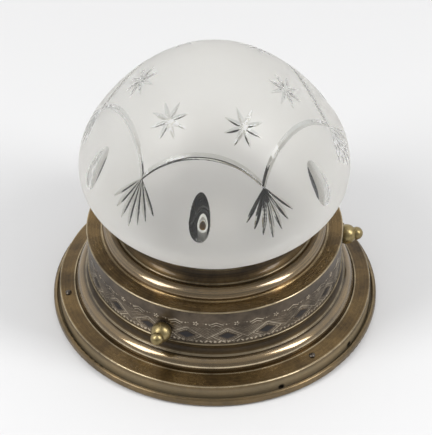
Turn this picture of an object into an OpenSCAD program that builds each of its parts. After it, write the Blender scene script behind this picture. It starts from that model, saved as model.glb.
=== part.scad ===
// Flush ceiling lamp: a stepped brass base with a frieze, and a wheel-cut glass
// dome whose neck is held by three thumb screws.
// The ceiling face lies at z = 0 and the glass points to +Z, as the lamp stands on a
// table. On a ceiling it is turned over. Turns are counted from the front, -Y, to +X.

/* [Ceiling pan] */
// Outer radius of the pan's rolled lip
pan_r = 125; // [124.5:0.1:127]
// Sheet of the pan
pan_t = 1.2; // [1:0.1:1.4]
// Radius of the lip's lower roll
lip_roll_r = 2.6; // [2.2:0.1:2.8]
// Radius of the lip's crest
lip_crest_r = 1.5; // [1.3:0.1:1.6]
// Height of the lip's crest
lip_top_z = 6.9; // [6:0.1:7.5]
// Radius of the circle on which the ceiling screws lie
ceiling_hole_pcr = 75; // [70:1:80]
// Radius of a ceiling screw's hole
ceiling_hole_r = 2.6; // [2:0.1:3.2]
// Radius of the cable entry
cable_hole_r = 6; // [5:0.5:7]
// Distance of the cable entry from the centre
cable_hole_y = 38; // [36:1:42]

/* [Flange] */
// Radius of the flange's skirt
skirt_r = 120; // [119:0.1:120.6]
// Height of the skirt's top edge
skirt_top_z = 16; // [15:0.1:17]
// Radius of the skirt's rounded edge
skirt_edge_r = 0.8; // [0.6:0.1:1]
// Sheet of the flange
flange_t = 1.1; // [1:0.1:1.3]
// Radius of the edge beside the foot moulding
step_r = 108; // [107.6:0.1:108.6]
// Height of that edge
step_z = 18.3; // [18.2:0.1:19]
// Height of the shelf that carries the moulding and the drum
shelf_z = 17.6; // [17.4:0.1:17.9]
// Radius of a pin hole in the skirt
pin_hole_r = 1.25; // [1:0.05:1.5]
// Height of the pin holes
pin_hole_z = 5.4; // [5:0.1:7]
// Radius on which the flange screws lie
flange_screw_pcr = 113.9; // [113:0.1:114.5]
// Radius of a flange screw's head
flange_head_r = 2.4; // [2.2:0.1:2.8]
// Radius of a flange screw's shaft
flange_shaft_r = 1.5; // [1.3:0.1:1.7]
// Radius of a spacer post
post_r = 4; // [3.5:0.1:4.2]

/* [Foot moulding] */
// Radius of the moulding's widest part
foot_r = 106.4; // [106:0.1:106.8]
// Radius of its quarter round
ovolo_r = 6.9; // [6.6:0.1:7.1]
// Height of the quarter round's crest
ovolo_top_z = 27.3; // [26.8:0.1:27.8]
// Sheet of the moulding
foot_t = 1.1; // [1:0.1:1.2]
// Radius of the small bead above the quarter round
foot_bead_r = 0.7; // [0.5:0.1:0.8]
// Height at which the hollow ends
hollow_top_z = 34.4; // [34:0.1:35]

/* [Drum] */
// Outer radius of the drum's wall
drum_r = 96.4; // [96.2:0.1:96.6]
// Wall of the drum
drum_t = 1.2; // [1:0.1:1.5]
// Height of the drum's top
drum_top_z = 69; // [68:0.2:70]
// Height at which the frieze starts
frieze_z = 37.9; // [37.5:0.1:38.5]
// Sheet of the frieze
frieze_t = 0.8; // [0.7:0.05:0.9]
// Sheet of the drum's cap
cap_t = 1.1; // [1:0.1:1.3]
// Radius of the cap's rolled edge
cap_roll_r = 0.7; // [0.6:0.05:0.8]

/* [Gallery] */
// Radius of the gallery's polished roll
gallery_roll_r = 6.5; // [6.2:0.1:6.8]
// Distance of the roll's centre from the axis
gallery_roll_c = 79; // [78.5:0.1:79.5]
// Height of the gallery's rim
rim_z = 86.6; // [85.5:0.1:87]
// Inner radius of the throat that the neck passes
throat_r = 68; // [67.8:0.1:68.6]
// Radius of the hollow under the rim
scotia_r = 8; // [7.5:0.1:8.2]
// Sheet of the gallery
gallery_t = 1.1; // [1:0.1:1.2]

/* [Glass] */
// Largest radius of the glass
glass_r = 100.8; // [99:0.2:102]
// Height of the largest radius
glass_eq_z = 131.4; // [130.6:0.2:134]
// Radius of the belly above it
belly_r = 50.3; // [48.5:0.1:52]
// Sweep of the belly
belly_sweep = 27.2; // [26:0.1:29]
// Radius of the shoulder above the belly
shoulder_r = 166.4; // [160:0.2:172]
// Steepness at which the shoulder meets the round cap
cap_from = 50.8; // [49:0.1:51.5]
// Radius of the haunch just below the largest radius
haunch_r = 29; // [27:0.5:31]
// Sweep of the haunch
haunch_sweep = 32; // [30:0.5:33]
// Radius of the underside
under_r = 71; // [69:0.5:73]
// Wall of the glass
glass_wall = 4; // [3.8:0.1:4.6]
// Outer radius of the neck
neck_r = 63.2; // [62:0.1:63.6]
// Radius of the neck's lip
neck_lip_r = 66.8; // [66:0.1:67.2]
// Height of the neck's lower end
neck_z = 40.6; // [39:0.1:41]
// Thickness of the lip
neck_lip_h = 4; // [3:0.1:4.4]

/* [Cut pattern] */
// Number of repeats round the dome
repeats = 6; // [5:1:6]
// Turn of the first knot from the front
pattern_turn = -36.6; // [-60:1:60]
// Half angle of the mitre wheel's edge
mitre_half = 54; // [50:1:58]
// Steepness of the knots, where the swags meet
knot_e = 35.4; // [34:0.1:36.5]
// Steepness of the stars
star_e = 52.2; // [51:0.1:54]
// Half angle of the blunter wheel that cuts the stars
star_half = 64; // [60:1:72]
// Length of a star's ray
star_reach = 15.5; // [14:0.5:17]
// Width of an olive
olive_w = 15.6; // [14:0.1:17]
// Depth of an olive
olive_depth = 2; // [1.8:0.05:2.3]
// Steepness at an olive's deepest place
olive_e = 27; // [25:0.2:28]
// Depth of a swag's groove
swag_depth = 0.9; // [0.7:0.05:1.1]
// Rise of the swags over the knots
swag_rise = 20; // [19:0.1:21]

/* [Thumb screws] */
// Turn of the first thumb screw
thumb_turn = -22.8; // [-30:0.1:-10]
// Height of the thumb screws
thumb_z = 48.1; // [47.8:0.1:49]
// Radius of the large ball
ball_r = 7.7; // [7.2:0.1:8]
// Distance of the large ball's centre from the axis
ball_c = 102.2; // [102:0.1:103]
// Radius of the small ball
tip_ball_r = 5; // [4.5:0.1:5.4]
// Distance of the small ball's centre from the axis
tip_ball_c = 109.9; // [109:0.1:110.5]
// Radius of the screw's shaft
thumb_shaft_r = 2.4; // [2:0.05:2.5]
// Radius of the screw's thin end
thumb_pin_r = 1.5; // [1.2:0.05:1.6]
// Length of the sleeve on the screw's end
sleeve_l = 6; // [5:0.1:7]
// Outer radius of a boss
boss_r = 5.5; // [5:0.1:6]
// Length of a boss
boss_l = 9; // [8:0.1:11]

/* [Lampholder] */
// Height of the lampholder's mouth
mouth_z = 68.3; // [67:0.1:70]
// Outer radius of the porcelain
body_r = 22; // [21.5:0.1:23]
// Inner radius of the threaded shell
shell_r = 13.3; // [13.2:0.05:13.5]
// Wall of the threaded shell
shell_t = 0.6; // [0.5:0.05:0.7]
// Length of the threaded shell
shell_l = 22; // [20:0.5:23]
// Depth of the shell's edge below the mouth
shell_sink = 5; // [4:0.1:6]
// Radius of the mouth above the shell
mouth_r = 15.6; // [15:0.1:16.5]
// Height of the bar's top
bar_z = 16; // [15:0.2:17]
// Sheet of the bar
bar_t = 1.6; // [1.4:0.1:2]
// Width of the bar
bar_w = 14; // [13:0.5:16]
// Half length of the bar between its legs
bar_reach = 44; // [42:0.5:46]
// Length of a foot of the bar
bar_foot = 10; // [9:0.5:12]
// Outer radius of the threaded nipple
nipple_r = 5; // [4.8:0.1:5.2]
// Bore of the nipple
nipple_bore_r = 3.6; // [3.2:0.1:3.8]

/* [Terminal block] */
// Length of the block
block_l = 26; // [24:0.5:30]
// Width of the block
block_w = 18; // [17:0.5:20]
// Height of the block
block_h = 11; // [10:0.5:12]
// Distance of the block's centre from the lamp's axis
block_x = 26; // [25:0.5:28]
// Distance between the two ways
way_pitch = 9; // [8.6:0.1:9.5]
// Bore of a way's brass insert
way_bore_r = 1.6; // [1.5:0.05:1.8]
// Radius of a wire
wire_r = 1; // [0.8:0.05:1.1]

/* [Hidden] */
$fn = 96;

// Clearances
eps = 0.01; // lets a cutting tool run past a face
thread_gap = 0.05; // radial, a thread in its hole
hole_gap = 0.4; // radial, a shaft in a plain hole
seat_gap = 0.15; // between two pieces that bear on each other when tight

// Colours
brass = [0.42, 0.35, 0.25];
bright_brass = [0.75, 0.62, 0.35];
porcelain = [0.93, 0.92, 0.88];
steel = [0.55, 0.55, 0.55];

// Unit vector at a steepness in the plane of radius and height
function dir2(e) = [cos(e), sin(e)];
function unit(v) = v / norm(v);

// Turns children, built on the +X side, to a turn counted from the front
module at_turn(a) {
    rotate([0, 0, a - 90]) children();
}

// Lays children, built along local X with Z outwards, at a place with given axes
module place(at, x, z) {
    y = cross(z, x);
    multmatrix([
        [x[0], y[0], z[0], at[0]],
        [x[1], y[1], z[1], at[1]],
        [x[2], y[2], z[2], at[2]],
        [0, 0, 0, 1]
    ]) children();
}

// Sheet of thickness t just inside a profile that is open below and inwards
module sheet(t) {
    difference() {
        children();
        translate([-t, -t]) children();
    }
}

// Ceiling pan

lip_set_in = 0.5; // how far the lip's wall lies inside the lower roll's centre
lip_inner_r = pan_r - lip_roll_r - lip_set_in;
lip_crest_c = [lip_inner_r + lip_crest_r, lip_top_z - lip_crest_r];
bar_screw_r = 1.7; // shaft of a screw that holds the bar
bar_screw_x = bar_reach + bar_foot / 2;
block_screw_r = 1.5; // shaft of the screw that holds the terminal block

module pan_lip_profile() {
    lower = [pan_r - lip_roll_r, lip_roll_r];
    intersection() {
        translate(lower) circle(r = lip_roll_r);
        translate([lip_inner_r, 0]) square([2 * lip_roll_r, lip_roll_r]);
    }
    polygon([
        [lip_inner_r, lip_roll_r], [pan_r, lip_roll_r],
        [lip_crest_c[0] + lip_crest_r, lip_crest_c[1]], [lip_inner_r, lip_crest_c[1]]
    ]);
    translate(lip_crest_c) circle(r = lip_crest_r);
}

module ceiling_pan() {
    color(brass) difference() {
        union() {
            cylinder(r = lip_inner_r + lip_crest_r / 2, h = pan_t);
            rotate_extrude() pan_lip_profile();
        }
        for (i = [0:2]) {
            at_turn(120 * i) translate([ceiling_hole_pcr, 0, -eps])
                cylinder(r = ceiling_hole_r, h = pan_t + 2 * eps);
            at_turn(flange_screw_turn + 120 * i) translate([flange_screw_pcr, 0, -eps])
                cylinder(r = flange_shaft_r + thread_gap, h = pan_t + 2 * eps);
        }
        translate([0, cable_hole_y, -eps]) cylinder(r = cable_hole_r, h = pan_t + 2 * eps);
        for (s = [-1, 1]) {
            translate([s * bar_screw_x, 0, -eps])
                cylinder(r = bar_screw_r + thread_gap, h = pan_t + 2 * eps);
        }
        translate([0, -block_x, -eps])
            cylinder(r = block_screw_r + thread_gap, h = pan_t + 2 * eps);
    }
}

// Flange, its posts and screws

flange_screw_turn = 39.4;
pin_hole_turns = [24.1, 57.3];
groove_w = 0.9; // the groove between the step and the foot moulding
shelf_lap = 1.2; // how far the shelf reaches inside the drum's wall
shelf_r = drum_r - drum_t - shelf_lap;
skirt_z = pan_t; // the skirt stands on the pan's floor

// Height of the flange's top face at radius r
function flange_top(r) = skirt_top_z + (step_z - skirt_top_z) * (skirt_r - r) / (skirt_r - step_r);
head_z = flange_top(flange_screw_pcr - flange_head_r);
post_gap = 0.15; // between a post and the flange above it
post_top_z = flange_top(flange_screw_pcr + post_r + flange_t) - flange_t - post_gap;
flange_head_h = 1.3; // height of a flange screw's head

module flange_profile() {
    edge = [skirt_r - skirt_edge_r, skirt_top_z - skirt_edge_r];
    polygon([
        [shelf_r, skirt_z], [skirt_r, skirt_z], [skirt_r, edge[1]],
        [edge[0], skirt_top_z + 2 * eps], [step_r, step_z],
        [foot_r + groove_w, shelf_z], [shelf_r, shelf_z]
    ]);
    translate(edge) circle(r = skirt_edge_r);
}

module flange_shell() {
    color(brass) difference() {
        rotate_extrude() sheet(flange_t) flange_profile();
        for (i = [0:2]) {
            at_turn(flange_screw_turn + 120 * i)
                translate([flange_screw_pcr, 0, skirt_z])
                    cylinder(r = flange_shaft_r + hole_gap, h = step_z);
        }
        for (a = pin_hole_turns) {
            at_turn(a) translate([skirt_r - 2 * flange_t, 0, pin_hole_z])
                rotate([0, 90, 0]) cylinder(r = pin_hole_r, h = 3 * flange_t);
        }
    }
}

module spacer_posts() {
    color(brass) for (i = [0:2]) {
        at_turn(flange_screw_turn + 120 * i) translate([flange_screw_pcr, 0, pan_t])
            difference() {
                cylinder(r = post_r, h = post_top_z - pan_t);
                translate([0, 0, -eps])
                    cylinder(r = flange_shaft_r + thread_gap, h = step_z);
            }
    }
}

module flange_screws() {
    color(bright_brass) for (i = [0:2]) {
        at_turn(flange_screw_turn + 120 * i) translate([flange_screw_pcr, 0, 0]) {
            translate([0, 0, pan_t / 2])
                cylinder(r = flange_shaft_r, h = head_z - pan_t / 2 + flange_head_h / 2);
            translate([0, 0, head_z]) round_head(flange_head_r, flange_head_h);
        }
    }
}

// Domed head of radius r and height h on z = 0
module round_head(r, h) {
    dome_r = (r * r + h * h) / (2 * h);
    intersection() {
        translate([0, 0, h - dome_r]) sphere(r = dome_r);
        cylinder(r = r, h = h);
    }
}

// Flat slotted head of radius r and height h on z = 0
module slotted_head(r, h) {
    slot_w = 2 * r / 7;
    difference() {
        cylinder(r = r, h = h);
        translate([-2 * r, -slot_w / 2, 0.6 * h]) cube([4 * r, slot_w, h]);
    }
}

// Foot moulding

ovolo_c = [foot_r - ovolo_r, ovolo_top_z - ovolo_r];
bead_back = 0.2; // how far the bead's centre lies inside the quarter round's
bead_lift = 0.5; // and over its crest
foot_bead_c = [ovolo_c[0] - bead_back, ovolo_top_z + bead_lift];
frieze_r = drum_r + frieze_t;
collar_r = frieze_r + 0.1; // the moulding's upper collar
collar_bead_r = 0.6; // bead on which the frieze stands
hollow_r = 9; // radius of the hollow
hollow_in = 0.3; // how far the hollow is cut into the collar

module foot_profile() {
    polygon([
        [drum_r, shelf_z], [foot_r, shelf_z], [foot_r, ovolo_c[1]],
        [ovolo_c[0], ovolo_c[1]], [ovolo_c[0], ovolo_top_z], [drum_r, ovolo_top_z]
    ]);
    translate(ovolo_c) intersection() {
        circle(r = ovolo_r);
        square(ovolo_r + 1);
    }
    difference() {
        translate([drum_r, ovolo_c[1]])
            square([foot_bead_c[0] - drum_r, hollow_top_z - ovolo_c[1]]);
        translate([collar_r - hollow_in + hollow_r, hollow_top_z]) circle(r = hollow_r);
    }
    translate(foot_bead_c) circle(r = foot_bead_r);
    translate([drum_r, hollow_top_z - collar_bead_r])
        square([collar_r - drum_r, frieze_z - hollow_top_z + collar_bead_r]);
    translate([frieze_r, frieze_z - collar_bead_r]) circle(r = collar_bead_r);
}

module foot_moulding() {
    color(brass) rotate_extrude() difference() {
        foot_profile();
        translate([-foot_t, -foot_t]) foot_profile();
        translate([0, shelf_z - foot_t]) square([drum_r + thread_gap, frieze_z]);
        translate([0, frieze_z]) square([foot_r, 2 * collar_bead_r]);
    }
}

// Drum, frieze and cap

module thumb_holes(r0, r1) {
    for (i = [0:2]) {
        at_turn(thumb_turn + 120 * i) translate([r0, 0, thumb_z]) rotate([0, 90, 0])
            cylinder(r = thumb_shaft_r + hole_gap, h = r1 - r0);
    }
}

module drum_wall() {
    color(brass) difference() {
        translate([0, 0, shelf_z]) cylinder(r = drum_r, h = drum_top_z - shelf_z);
        translate([0, 0, shelf_z - 1]) cylinder(r = drum_r - drum_t, h = drum_top_z);
        thumb_holes(drum_r - 3 * drum_t, drum_r + 1);
    }
}

module frieze_band() {
    color(brass) difference() {
        translate([0, 0, frieze_z]) cylinder(r = frieze_r, h = drum_top_z - frieze_z);
        cylinder(r = drum_r, h = drum_top_z + 1);
        thumb_holes(drum_r - 1, frieze_r + 1);
    }
}

cap_overhang = 0.3; // of the cap over the frieze
cap_edge_r = frieze_r + cap_overhang;
cap_lap = 4; // how far the cap stays outside the gallery's throat
cap_in_r = throat_r + cap_lap;
cap_top_z = drum_top_z + cap_t;

module drum_cap() {
    color(brass) rotate_extrude() {
        translate([cap_in_r, drum_top_z])
            square([cap_edge_r - cap_roll_r - cap_in_r, cap_t]);
        translate([cap_edge_r - cap_roll_r, drum_top_z + cap_t - cap_roll_r]) intersection() {
            circle(r = cap_roll_r);
            translate([-eps, cap_roll_r - cap_t]) square([2 * cap_roll_r, cap_t]);
        }
    }
}

// Gallery ring

roll_lift = 1.4; // height of the roll's centre over the cap
roll_c = [gallery_roll_c, cap_top_z + roll_lift];
gallery_bead_back = 3.5; // how far the bead lies inside the roll's centre
gallery_bead_lift = 0.1; // and over its crest
gallery_bead_c = roll_c + [-gallery_bead_back, gallery_roll_r + gallery_bead_lift];
gallery_bead_r = 0.8;
rim_bead_r = 0.9;
rim_wall = 1.6; // wall left between the throat and the hollow

module gallery_profile() {
    intersection() {
        translate(roll_c) circle(r = gallery_roll_r);
        translate([throat_r, cap_top_z]) square([gallery_roll_c, rim_z]);
    }
    translate(gallery_bead_c) circle(r = gallery_bead_r);
    difference() {
        translate([throat_r, cap_top_z])
            square([gallery_bead_c[0] - throat_r, rim_z - cap_top_z - rim_bead_r]);
        translate([throat_r + rim_wall + scotia_r, rim_z - rim_bead_r]) circle(r = scotia_r);
    }
    translate([throat_r + rim_bead_r, rim_z - rim_bead_r]) circle(r = rim_bead_r);
}

module gallery_ring() {
    color(brass) rotate_extrude() difference() {
        gallery_profile();
        translate(roll_c) circle(r = gallery_roll_r - gallery_t);
        translate([throat_r + gallery_t, cap_top_z - gallery_t])
            square([gallery_roll_c - throat_r - gallery_t, roll_lift + gallery_t]);
    }
}

// Glass outline: five arcs, each meeting the next at a crease of less than a degree

crease = 0.8;
belly_c = [glass_r - belly_r, glass_eq_z];
belly_end = belly_c + belly_r * dir2(belly_sweep);
shoulder_c = belly_end - shoulder_r * dir2(belly_sweep + crease);
shoulder_end = shoulder_c + shoulder_r * dir2(cap_from);
crown_r = shoulder_end[0] / cos(cap_from + crease);
crown_c = [0, shoulder_end[1] - crown_r * sin(cap_from + crease)];
haunch_c = [glass_r - haunch_r, glass_eq_z];
haunch_end = haunch_c + haunch_r * dir2(-haunch_sweep);
under_c = haunch_end - under_r * dir2(-haunch_sweep - crease);
neck_top_z = under_c[1] - sqrt(under_r ^ 2 - (neck_r - under_c[0]) ^ 2);

// Point of the dome where its face has the steepness e over the level
function dome(e) =
    e < belly_sweep ? belly_c + belly_r * dir2(e)
    : e < cap_from ? shoulder_c + shoulder_r * dir2(e)
    : crown_c + crown_r * dir2(e);

// Point and outward direction of the dome at steepness e and turn t, in space
function turned(p, t) = [p[0] * cos(t), p[0] * sin(t), p[1]];
function dome_at(e, t) = turned(dome(e), t);
function dome_out(e, t) = turned(dir2(e), t);

module disc_at(c, r) {
    translate(c) circle(r = r);
}

// Part of a half outline between two heights
module band(z0, z1) {
    intersection() {
        children();
        translate([0, z0]) square([2 * glass_r, z1 - z0]);
    }
}

// Half outline of the glass, drawn in by t: one band for each arc and, where two arcs
// meet, a band that both of them bound
module glass_outline(t) {
    half = 2;
    lap = 0.5;
    core = t + 2;
    low = haunch_end - t * dir2(-haunch_sweep - crease / 2);
    mid = belly_end - t * dir2(belly_sweep + crease / 2);
    high = shoulder_end - t * dir2(cap_from + crease / 2);
    band(neck_top_z - half, low[1] - half) disc_at(under_c, under_r - t);
    band(low[1] - half - lap, low[1] + half + lap) intersection() {
        disc_at(under_c, under_r - t);
        disc_at(haunch_c, haunch_r - t);
    }
    band(low[1] + half, glass_eq_z) disc_at(haunch_c, haunch_r - t);
    band(glass_eq_z, mid[1] - half) disc_at(belly_c, belly_r - t);
    band(mid[1] - half - lap, mid[1] + half + lap) intersection() {
        disc_at(belly_c, belly_r - t);
        disc_at(shoulder_c, shoulder_r - t);
    }
    band(mid[1] + half, high[1] - half) disc_at(shoulder_c, shoulder_r - t);
    band(high[1] - half - lap, high[1] + half + lap) intersection() {
        disc_at(shoulder_c, shoulder_r - t);
        disc_at(crown_c, crown_r - t);
    }
    band(high[1] + half, crown_c[1] + crown_r) disc_at(crown_c, crown_r - t);
    polygon([
        [0, neck_top_z + core], [neck_r - core, neck_top_z + core],
        haunch_end - core * dir2(-haunch_sweep), [glass_r - core, glass_eq_z],
        belly_end - core * dir2(belly_sweep), shoulder_end - core * dir2(cap_from),
        [0, crown_c[1] + crown_r - core]
    ]);
}

module glass_section() {
    difference() {
        union() {
            glass_outline(0);
            translate([0, neck_z]) square([neck_r, neck_top_z - neck_z + glass_wall]);
            translate([0, neck_z]) square([neck_lip_r, neck_lip_h]);
        }
        glass_outline(glass_wall);
        translate([-eps, neck_z - eps])
            square([neck_r - glass_wall + eps, neck_top_z - neck_z + 2 * glass_wall]);
    }
}

// Tools of the glass cutter

cut_reach = 3; // height of a tool over its edge

// Straight mitre cut of length l along X, its edge at z = 0, open upwards
module mitre_bar(l, half) {
    w = cut_reach * tan(half);
    translate([-l / 2, 0, 0]) rotate([90, 0, 90]) linear_extrude(l)
        polygon([[0, 0], [w, cut_reach], [-w, cut_reach]]);
}

// Leaves of a fan: turn from the middle and steepness of the tip of each
leaves = [[-11.3, 27.5], [-8, 18.8], [-4.3, 12.5], [0, 6.4], [4.3, 12.5], [8, 18.8], [11.3, 27.5]];
leaf_sink = 0.25; // how deep a leaf's edge lies at its two ends
leaf_over = 4; // how far a leaf's tool runs past its ends
star_rays = 8;
ray_sink = 0.06; // how deep a ray's edge lies at its two ends
ray_over = 0.6; // how far a ray's tool runs past its ends

// Straight cut on the dome from steepness e to a place [turn, steepness]
module chord_cut(e, tip, sink, over, half) {
    a = dome_at(e, 0);
    b = dome_at(tip[1], tip[0]);
    along = unit(b - a);
    mid_out = unit(dome_out(e, 0) + dome_out(tip[1], tip[0]));
    out = unit(mid_out - (mid_out * along) * along);
    place((a + b) / 2 - sink * out, along, out) mitre_bar(norm(b - a) + 2 * over, half);
}

module fan_cuts() {
    for (leaf = leaves) chord_cut(knot_e, leaf, leaf_sink, leaf_over, mitre_half);
}

// Tip of a star's ray that points at angle a from straight up
function ray_tip(a) =
    let (across = star_reach * sin(a), up = star_reach * cos(a))
    [across / dome(star_e)[0], up / (up > 0 ? crown_r : shoulder_r)] * 180 / PI + [0, star_e];

module star_cuts() {
    for (k = [0:star_rays - 1])
        chord_cut(star_e, ray_tip(k * 360 / star_rays), ray_sink, ray_over, star_half);
}

// Round-edged wheel laid along the meridian cuts an olive
module olive_cut() {
    half = olive_w / 2;
    edge_r = 1 / (2 * olive_depth / (half * half) - 1 / glass_r);
    out = dome_out(olive_e, 0);
    place(dome_at(olive_e, 0) + (edge_r - olive_depth) * out, [-out[2], 0, out[0]], out)
        rotate([0, 90, 0]) cylinder(r = edge_r, h = 2 * glass_r, center = true);
}

// Swag from knot to knot: one bow in a tilted plane. Plane axes: x sideways, s up the plane.
swag_over = 1; // how far in degrees a bow runs past a knot
knot_half = 180 / repeats;
knot_p = dome(knot_e);
knot_x = knot_p[0] * sin(knot_half);
knot_y = knot_p[0] * cos(knot_half);
peak_z = knot_p[1] + swag_rise;
peak_e = asin((peak_z - shoulder_c[1]) / shoulder_r);
peak_p = dome(peak_e);
plane_up = unit([peak_p[0] - knot_y, 0, peak_z - knot_p[1]]);
plane_out = cross([0, 1, 0], plane_up);
swag_tilt = acos(plane_up * [cos(peak_e), 0, sin(peak_e)]);
knot_s = norm([peak_p[0] - knot_y, peak_z - knot_p[1]]);
bow_r = (knot_x * knot_x + knot_s * knot_s) / (2 * knot_s);
bow_sweep = asin(knot_x / bow_r) + swag_over;

module swag_cut() {
    tip = [bow_r, 0] - swag_depth * dir2(swag_tilt);
    place([peak_p[0], 0, peak_z], [0, 1, 0], plane_out) translate([0, -bow_r, 0])
        rotate([0, 0, 90 - bow_sweep]) rotate_extrude(angle = 2 * bow_sweep) polygon([
            tip,
            tip + cut_reach * dir2(swag_tilt - mitre_half),
            tip + cut_reach * dir2(swag_tilt + mitre_half)
        ]);
}

module glass_shade() {
    color([0.86, 0.88, 0.87]) difference() {
        rotate_extrude() glass_section();
        for (i = [0:repeats - 1]) {
            at_turn(pattern_turn + i * 2 * knot_half) {
                fan_cuts();
                star_cuts();
            }
            at_turn(pattern_turn + (2 * i + 1) * knot_half) {
                olive_cut();
                swag_cut();
            }
        }
    }
}

// Thumb screws, their sleeves and bosses

sleeve_end = neck_r + seat_gap;
sleeve_cap_t = 1.2; // the sleeve's closed end
pin_end = sleeve_end + sleeve_cap_t;
ball_face_gap = 0.6; // between the large ball's flat back and the frieze

module thumb_screw(i) {
    color(bright_brass) at_turn(thumb_turn + 120 * (i - 1)) translate([0, 0, thumb_z])
        rotate([0, 90, 0]) {
            translate([0, 0, pin_end])
                cylinder(r = thumb_pin_r, h = sleeve_l);
            translate([0, 0, sleeve_end + sleeve_l + seat_gap])
                cylinder(r = thumb_shaft_r, h = ball_c - sleeve_end - sleeve_l);
            translate([0, 0, ball_c]) difference() {
                sphere(r = ball_r);
                translate([0, 0, frieze_r + ball_face_gap - ball_c - 2 * ball_r])
                    cylinder(r = 2 * ball_r, h = 2 * ball_r);
            }
            translate([0, 0, tip_ball_c]) sphere(r = tip_ball_r);
        }
}

module screw_sleeve(i) {
    color([0.3, 0.27, 0.24]) at_turn(thumb_turn + 120 * (i - 1))
        translate([0, 0, thumb_z]) rotate([0, 90, 0]) difference() {
            translate([0, 0, sleeve_end]) cylinder(r = thumb_shaft_r, h = sleeve_l);
            translate([0, 0, pin_end - seat_gap])
                cylinder(r = thumb_pin_r + thread_gap, h = sleeve_l);
        }
}

module screw_bosses() {
    inner = drum_r - drum_t;
    color(brass) for (i = [0:2]) {
        at_turn(thumb_turn + 120 * i) intersection() {
            translate([0, 0, thumb_z]) rotate([0, 90, 0]) difference() {
                translate([0, 0, inner - boss_l]) cylinder(r = boss_r, h = boss_l);
                cylinder(r = thumb_shaft_r + thread_gap, h = drum_r);
            }
            translate([0, 0, thumb_z - 2 * boss_r]) cylinder(r = inner, h = 4 * boss_r);
        }
    }
}

// Bar, nipple and nuts that carry the lampholder

bar_leg_top = bar_z - bar_t;
bar_hole_gap = 0.2; // radial, a screw in the bar's foot
bar_head_h = 2; // height of such a screw's head
nut_af = 14; // across a nut's flats
nut_h = 3;
nipple_z = 10; // lower end of the nipple
nut_clear = 0.8; // between the upper nut and the holder's base
base_neck_z = bar_z + nut_h + nut_clear;
nipple_grip = 6.5; // length of the nipple inside the holder's base
nipple_l = base_neck_z + nipple_grip - nipple_z;

module cross_bar() {
    color(steel) difference() {
        translate([0, bar_w / 2, 0]) rotate([90, 0, 0]) linear_extrude(bar_w) polygon([
            [-bar_reach - bar_foot, pan_t], [-bar_reach + bar_t, pan_t],
            [-bar_reach + bar_t, bar_leg_top], [bar_reach - bar_t, bar_leg_top],
            [bar_reach - bar_t, pan_t], [bar_reach + bar_foot, pan_t],
            [bar_reach + bar_foot, pan_t + bar_t], [bar_reach, pan_t + bar_t],
            [bar_reach, bar_z], [-bar_reach, bar_z],
            [-bar_reach, pan_t + bar_t], [-bar_reach - bar_foot, pan_t + bar_t]
        ]);
        translate([0, 0, pan_t]) cylinder(r = nipple_r + thread_gap, h = bar_z);
        for (s = [-1, 1]) {
            translate([s * bar_screw_x, 0, 0])
                cylinder(r = bar_screw_r + bar_hole_gap, h = 2 * (pan_t + bar_t));
        }
    }
}

module bar_screws() {
    color(steel) for (s = [-1, 1]) {
        translate([s * bar_screw_x, 0, 0]) {
            cylinder(r = bar_screw_r, h = pan_t + bar_t + bar_head_h / 4);
            translate([0, 0, pan_t + bar_t]) slotted_head(2 * bar_screw_r, bar_head_h);
        }
    }
}

module nipple() {
    color(bright_brass) translate([0, 0, nipple_z]) difference() {
        cylinder(r = nipple_r, h = nipple_l);
        translate([0, 0, -eps]) cylinder(r = nipple_bore_r, h = nipple_l + 2 * eps);
    }
}

module nipple_nuts() {
    color(bright_brass) for (z = [bar_leg_top - nut_h, bar_z]) {
        translate([0, 0, z]) difference() {
            cylinder(r = nut_af / 2 / cos(30), h = nut_h, $fn = 6);
            translate([0, 0, -eps])
                cylinder(r = nipple_r + thread_gap, h = nut_h + 2 * eps);
        }
    }
}

// Lampholder

shell_top_z = mouth_z - shell_sink;
shell_z = shell_top_z - shell_l;
well_drop = 3; // of the porcelain's well below the threaded shell
well_z = shell_z - well_drop;
shell_out_r = shell_r + shell_t;
well_r = shell_out_r + seat_gap;
shell_hole_r = 7; // hole in the shell's floor
holder_neck_l = 5.5; // length of the base's threaded neck
holder_neck_t = 2.4; // and its wall
base_t = 1; // sheet of the base
base_in = 0.6; // how far the base lies inside the porcelain's edge
base_out_r = body_r - base_in;
body_z = base_neck_z + nipple_grip + 2 * base_t; // lower end of the porcelain
base_wall_h = 6; // height of the base's upright edge
base_top_z = body_z + base_wall_h;
wiring_r = 15; // space for the wires under the well
body_floor_t = 3; // porcelain between that space and the well
plug_gap = 0.1; // between the porcelain's plug and the base
body_edge_r = 1.4; // rounding of the mouth's outer edge
body_foot_r = 1; // rounding of the shoulder
mouth_edge_r = 1; // rounding of the mouth's inner edge
rivet_r = 1.5; // shaft of the centre contact
terminal_x = 9.5; // distance of a terminal screw from the axis
terminal_r = 1.6; // its shaft
terminal_head_r = 2.7;
terminal_head_h = 1.8;
terminal_l = 5; // its length below the head
contact_r = 4.4; // radius of the centre contact's face
contact_h = 1.4; // bulge of that face
contact_lift = 2; // height of the face over the well
washer_r = 2.6;
tongue = [3, 6]; // thickness and width of the side contact

module holder_base() {
    bore_r = nipple_r + thread_gap;
    cone_z = base_neck_z + holder_neck_l - base_t;
    color(bright_brass) rotate_extrude() {
        translate([bore_r, base_neck_z]) square([holder_neck_t, holder_neck_l]);
        polygon([
            [bore_r, cone_z], [bore_r + holder_neck_t, cone_z],
            [base_out_r, body_z - base_t], [base_out_r, base_top_z],
            [base_out_r - base_t, base_top_z], [base_out_r - base_t, body_z],
            [bore_r + holder_neck_t - base_t / 2, cone_z + 2 * base_t], [bore_r, cone_z + 2 * base_t]
        ]);
    }
}

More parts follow.
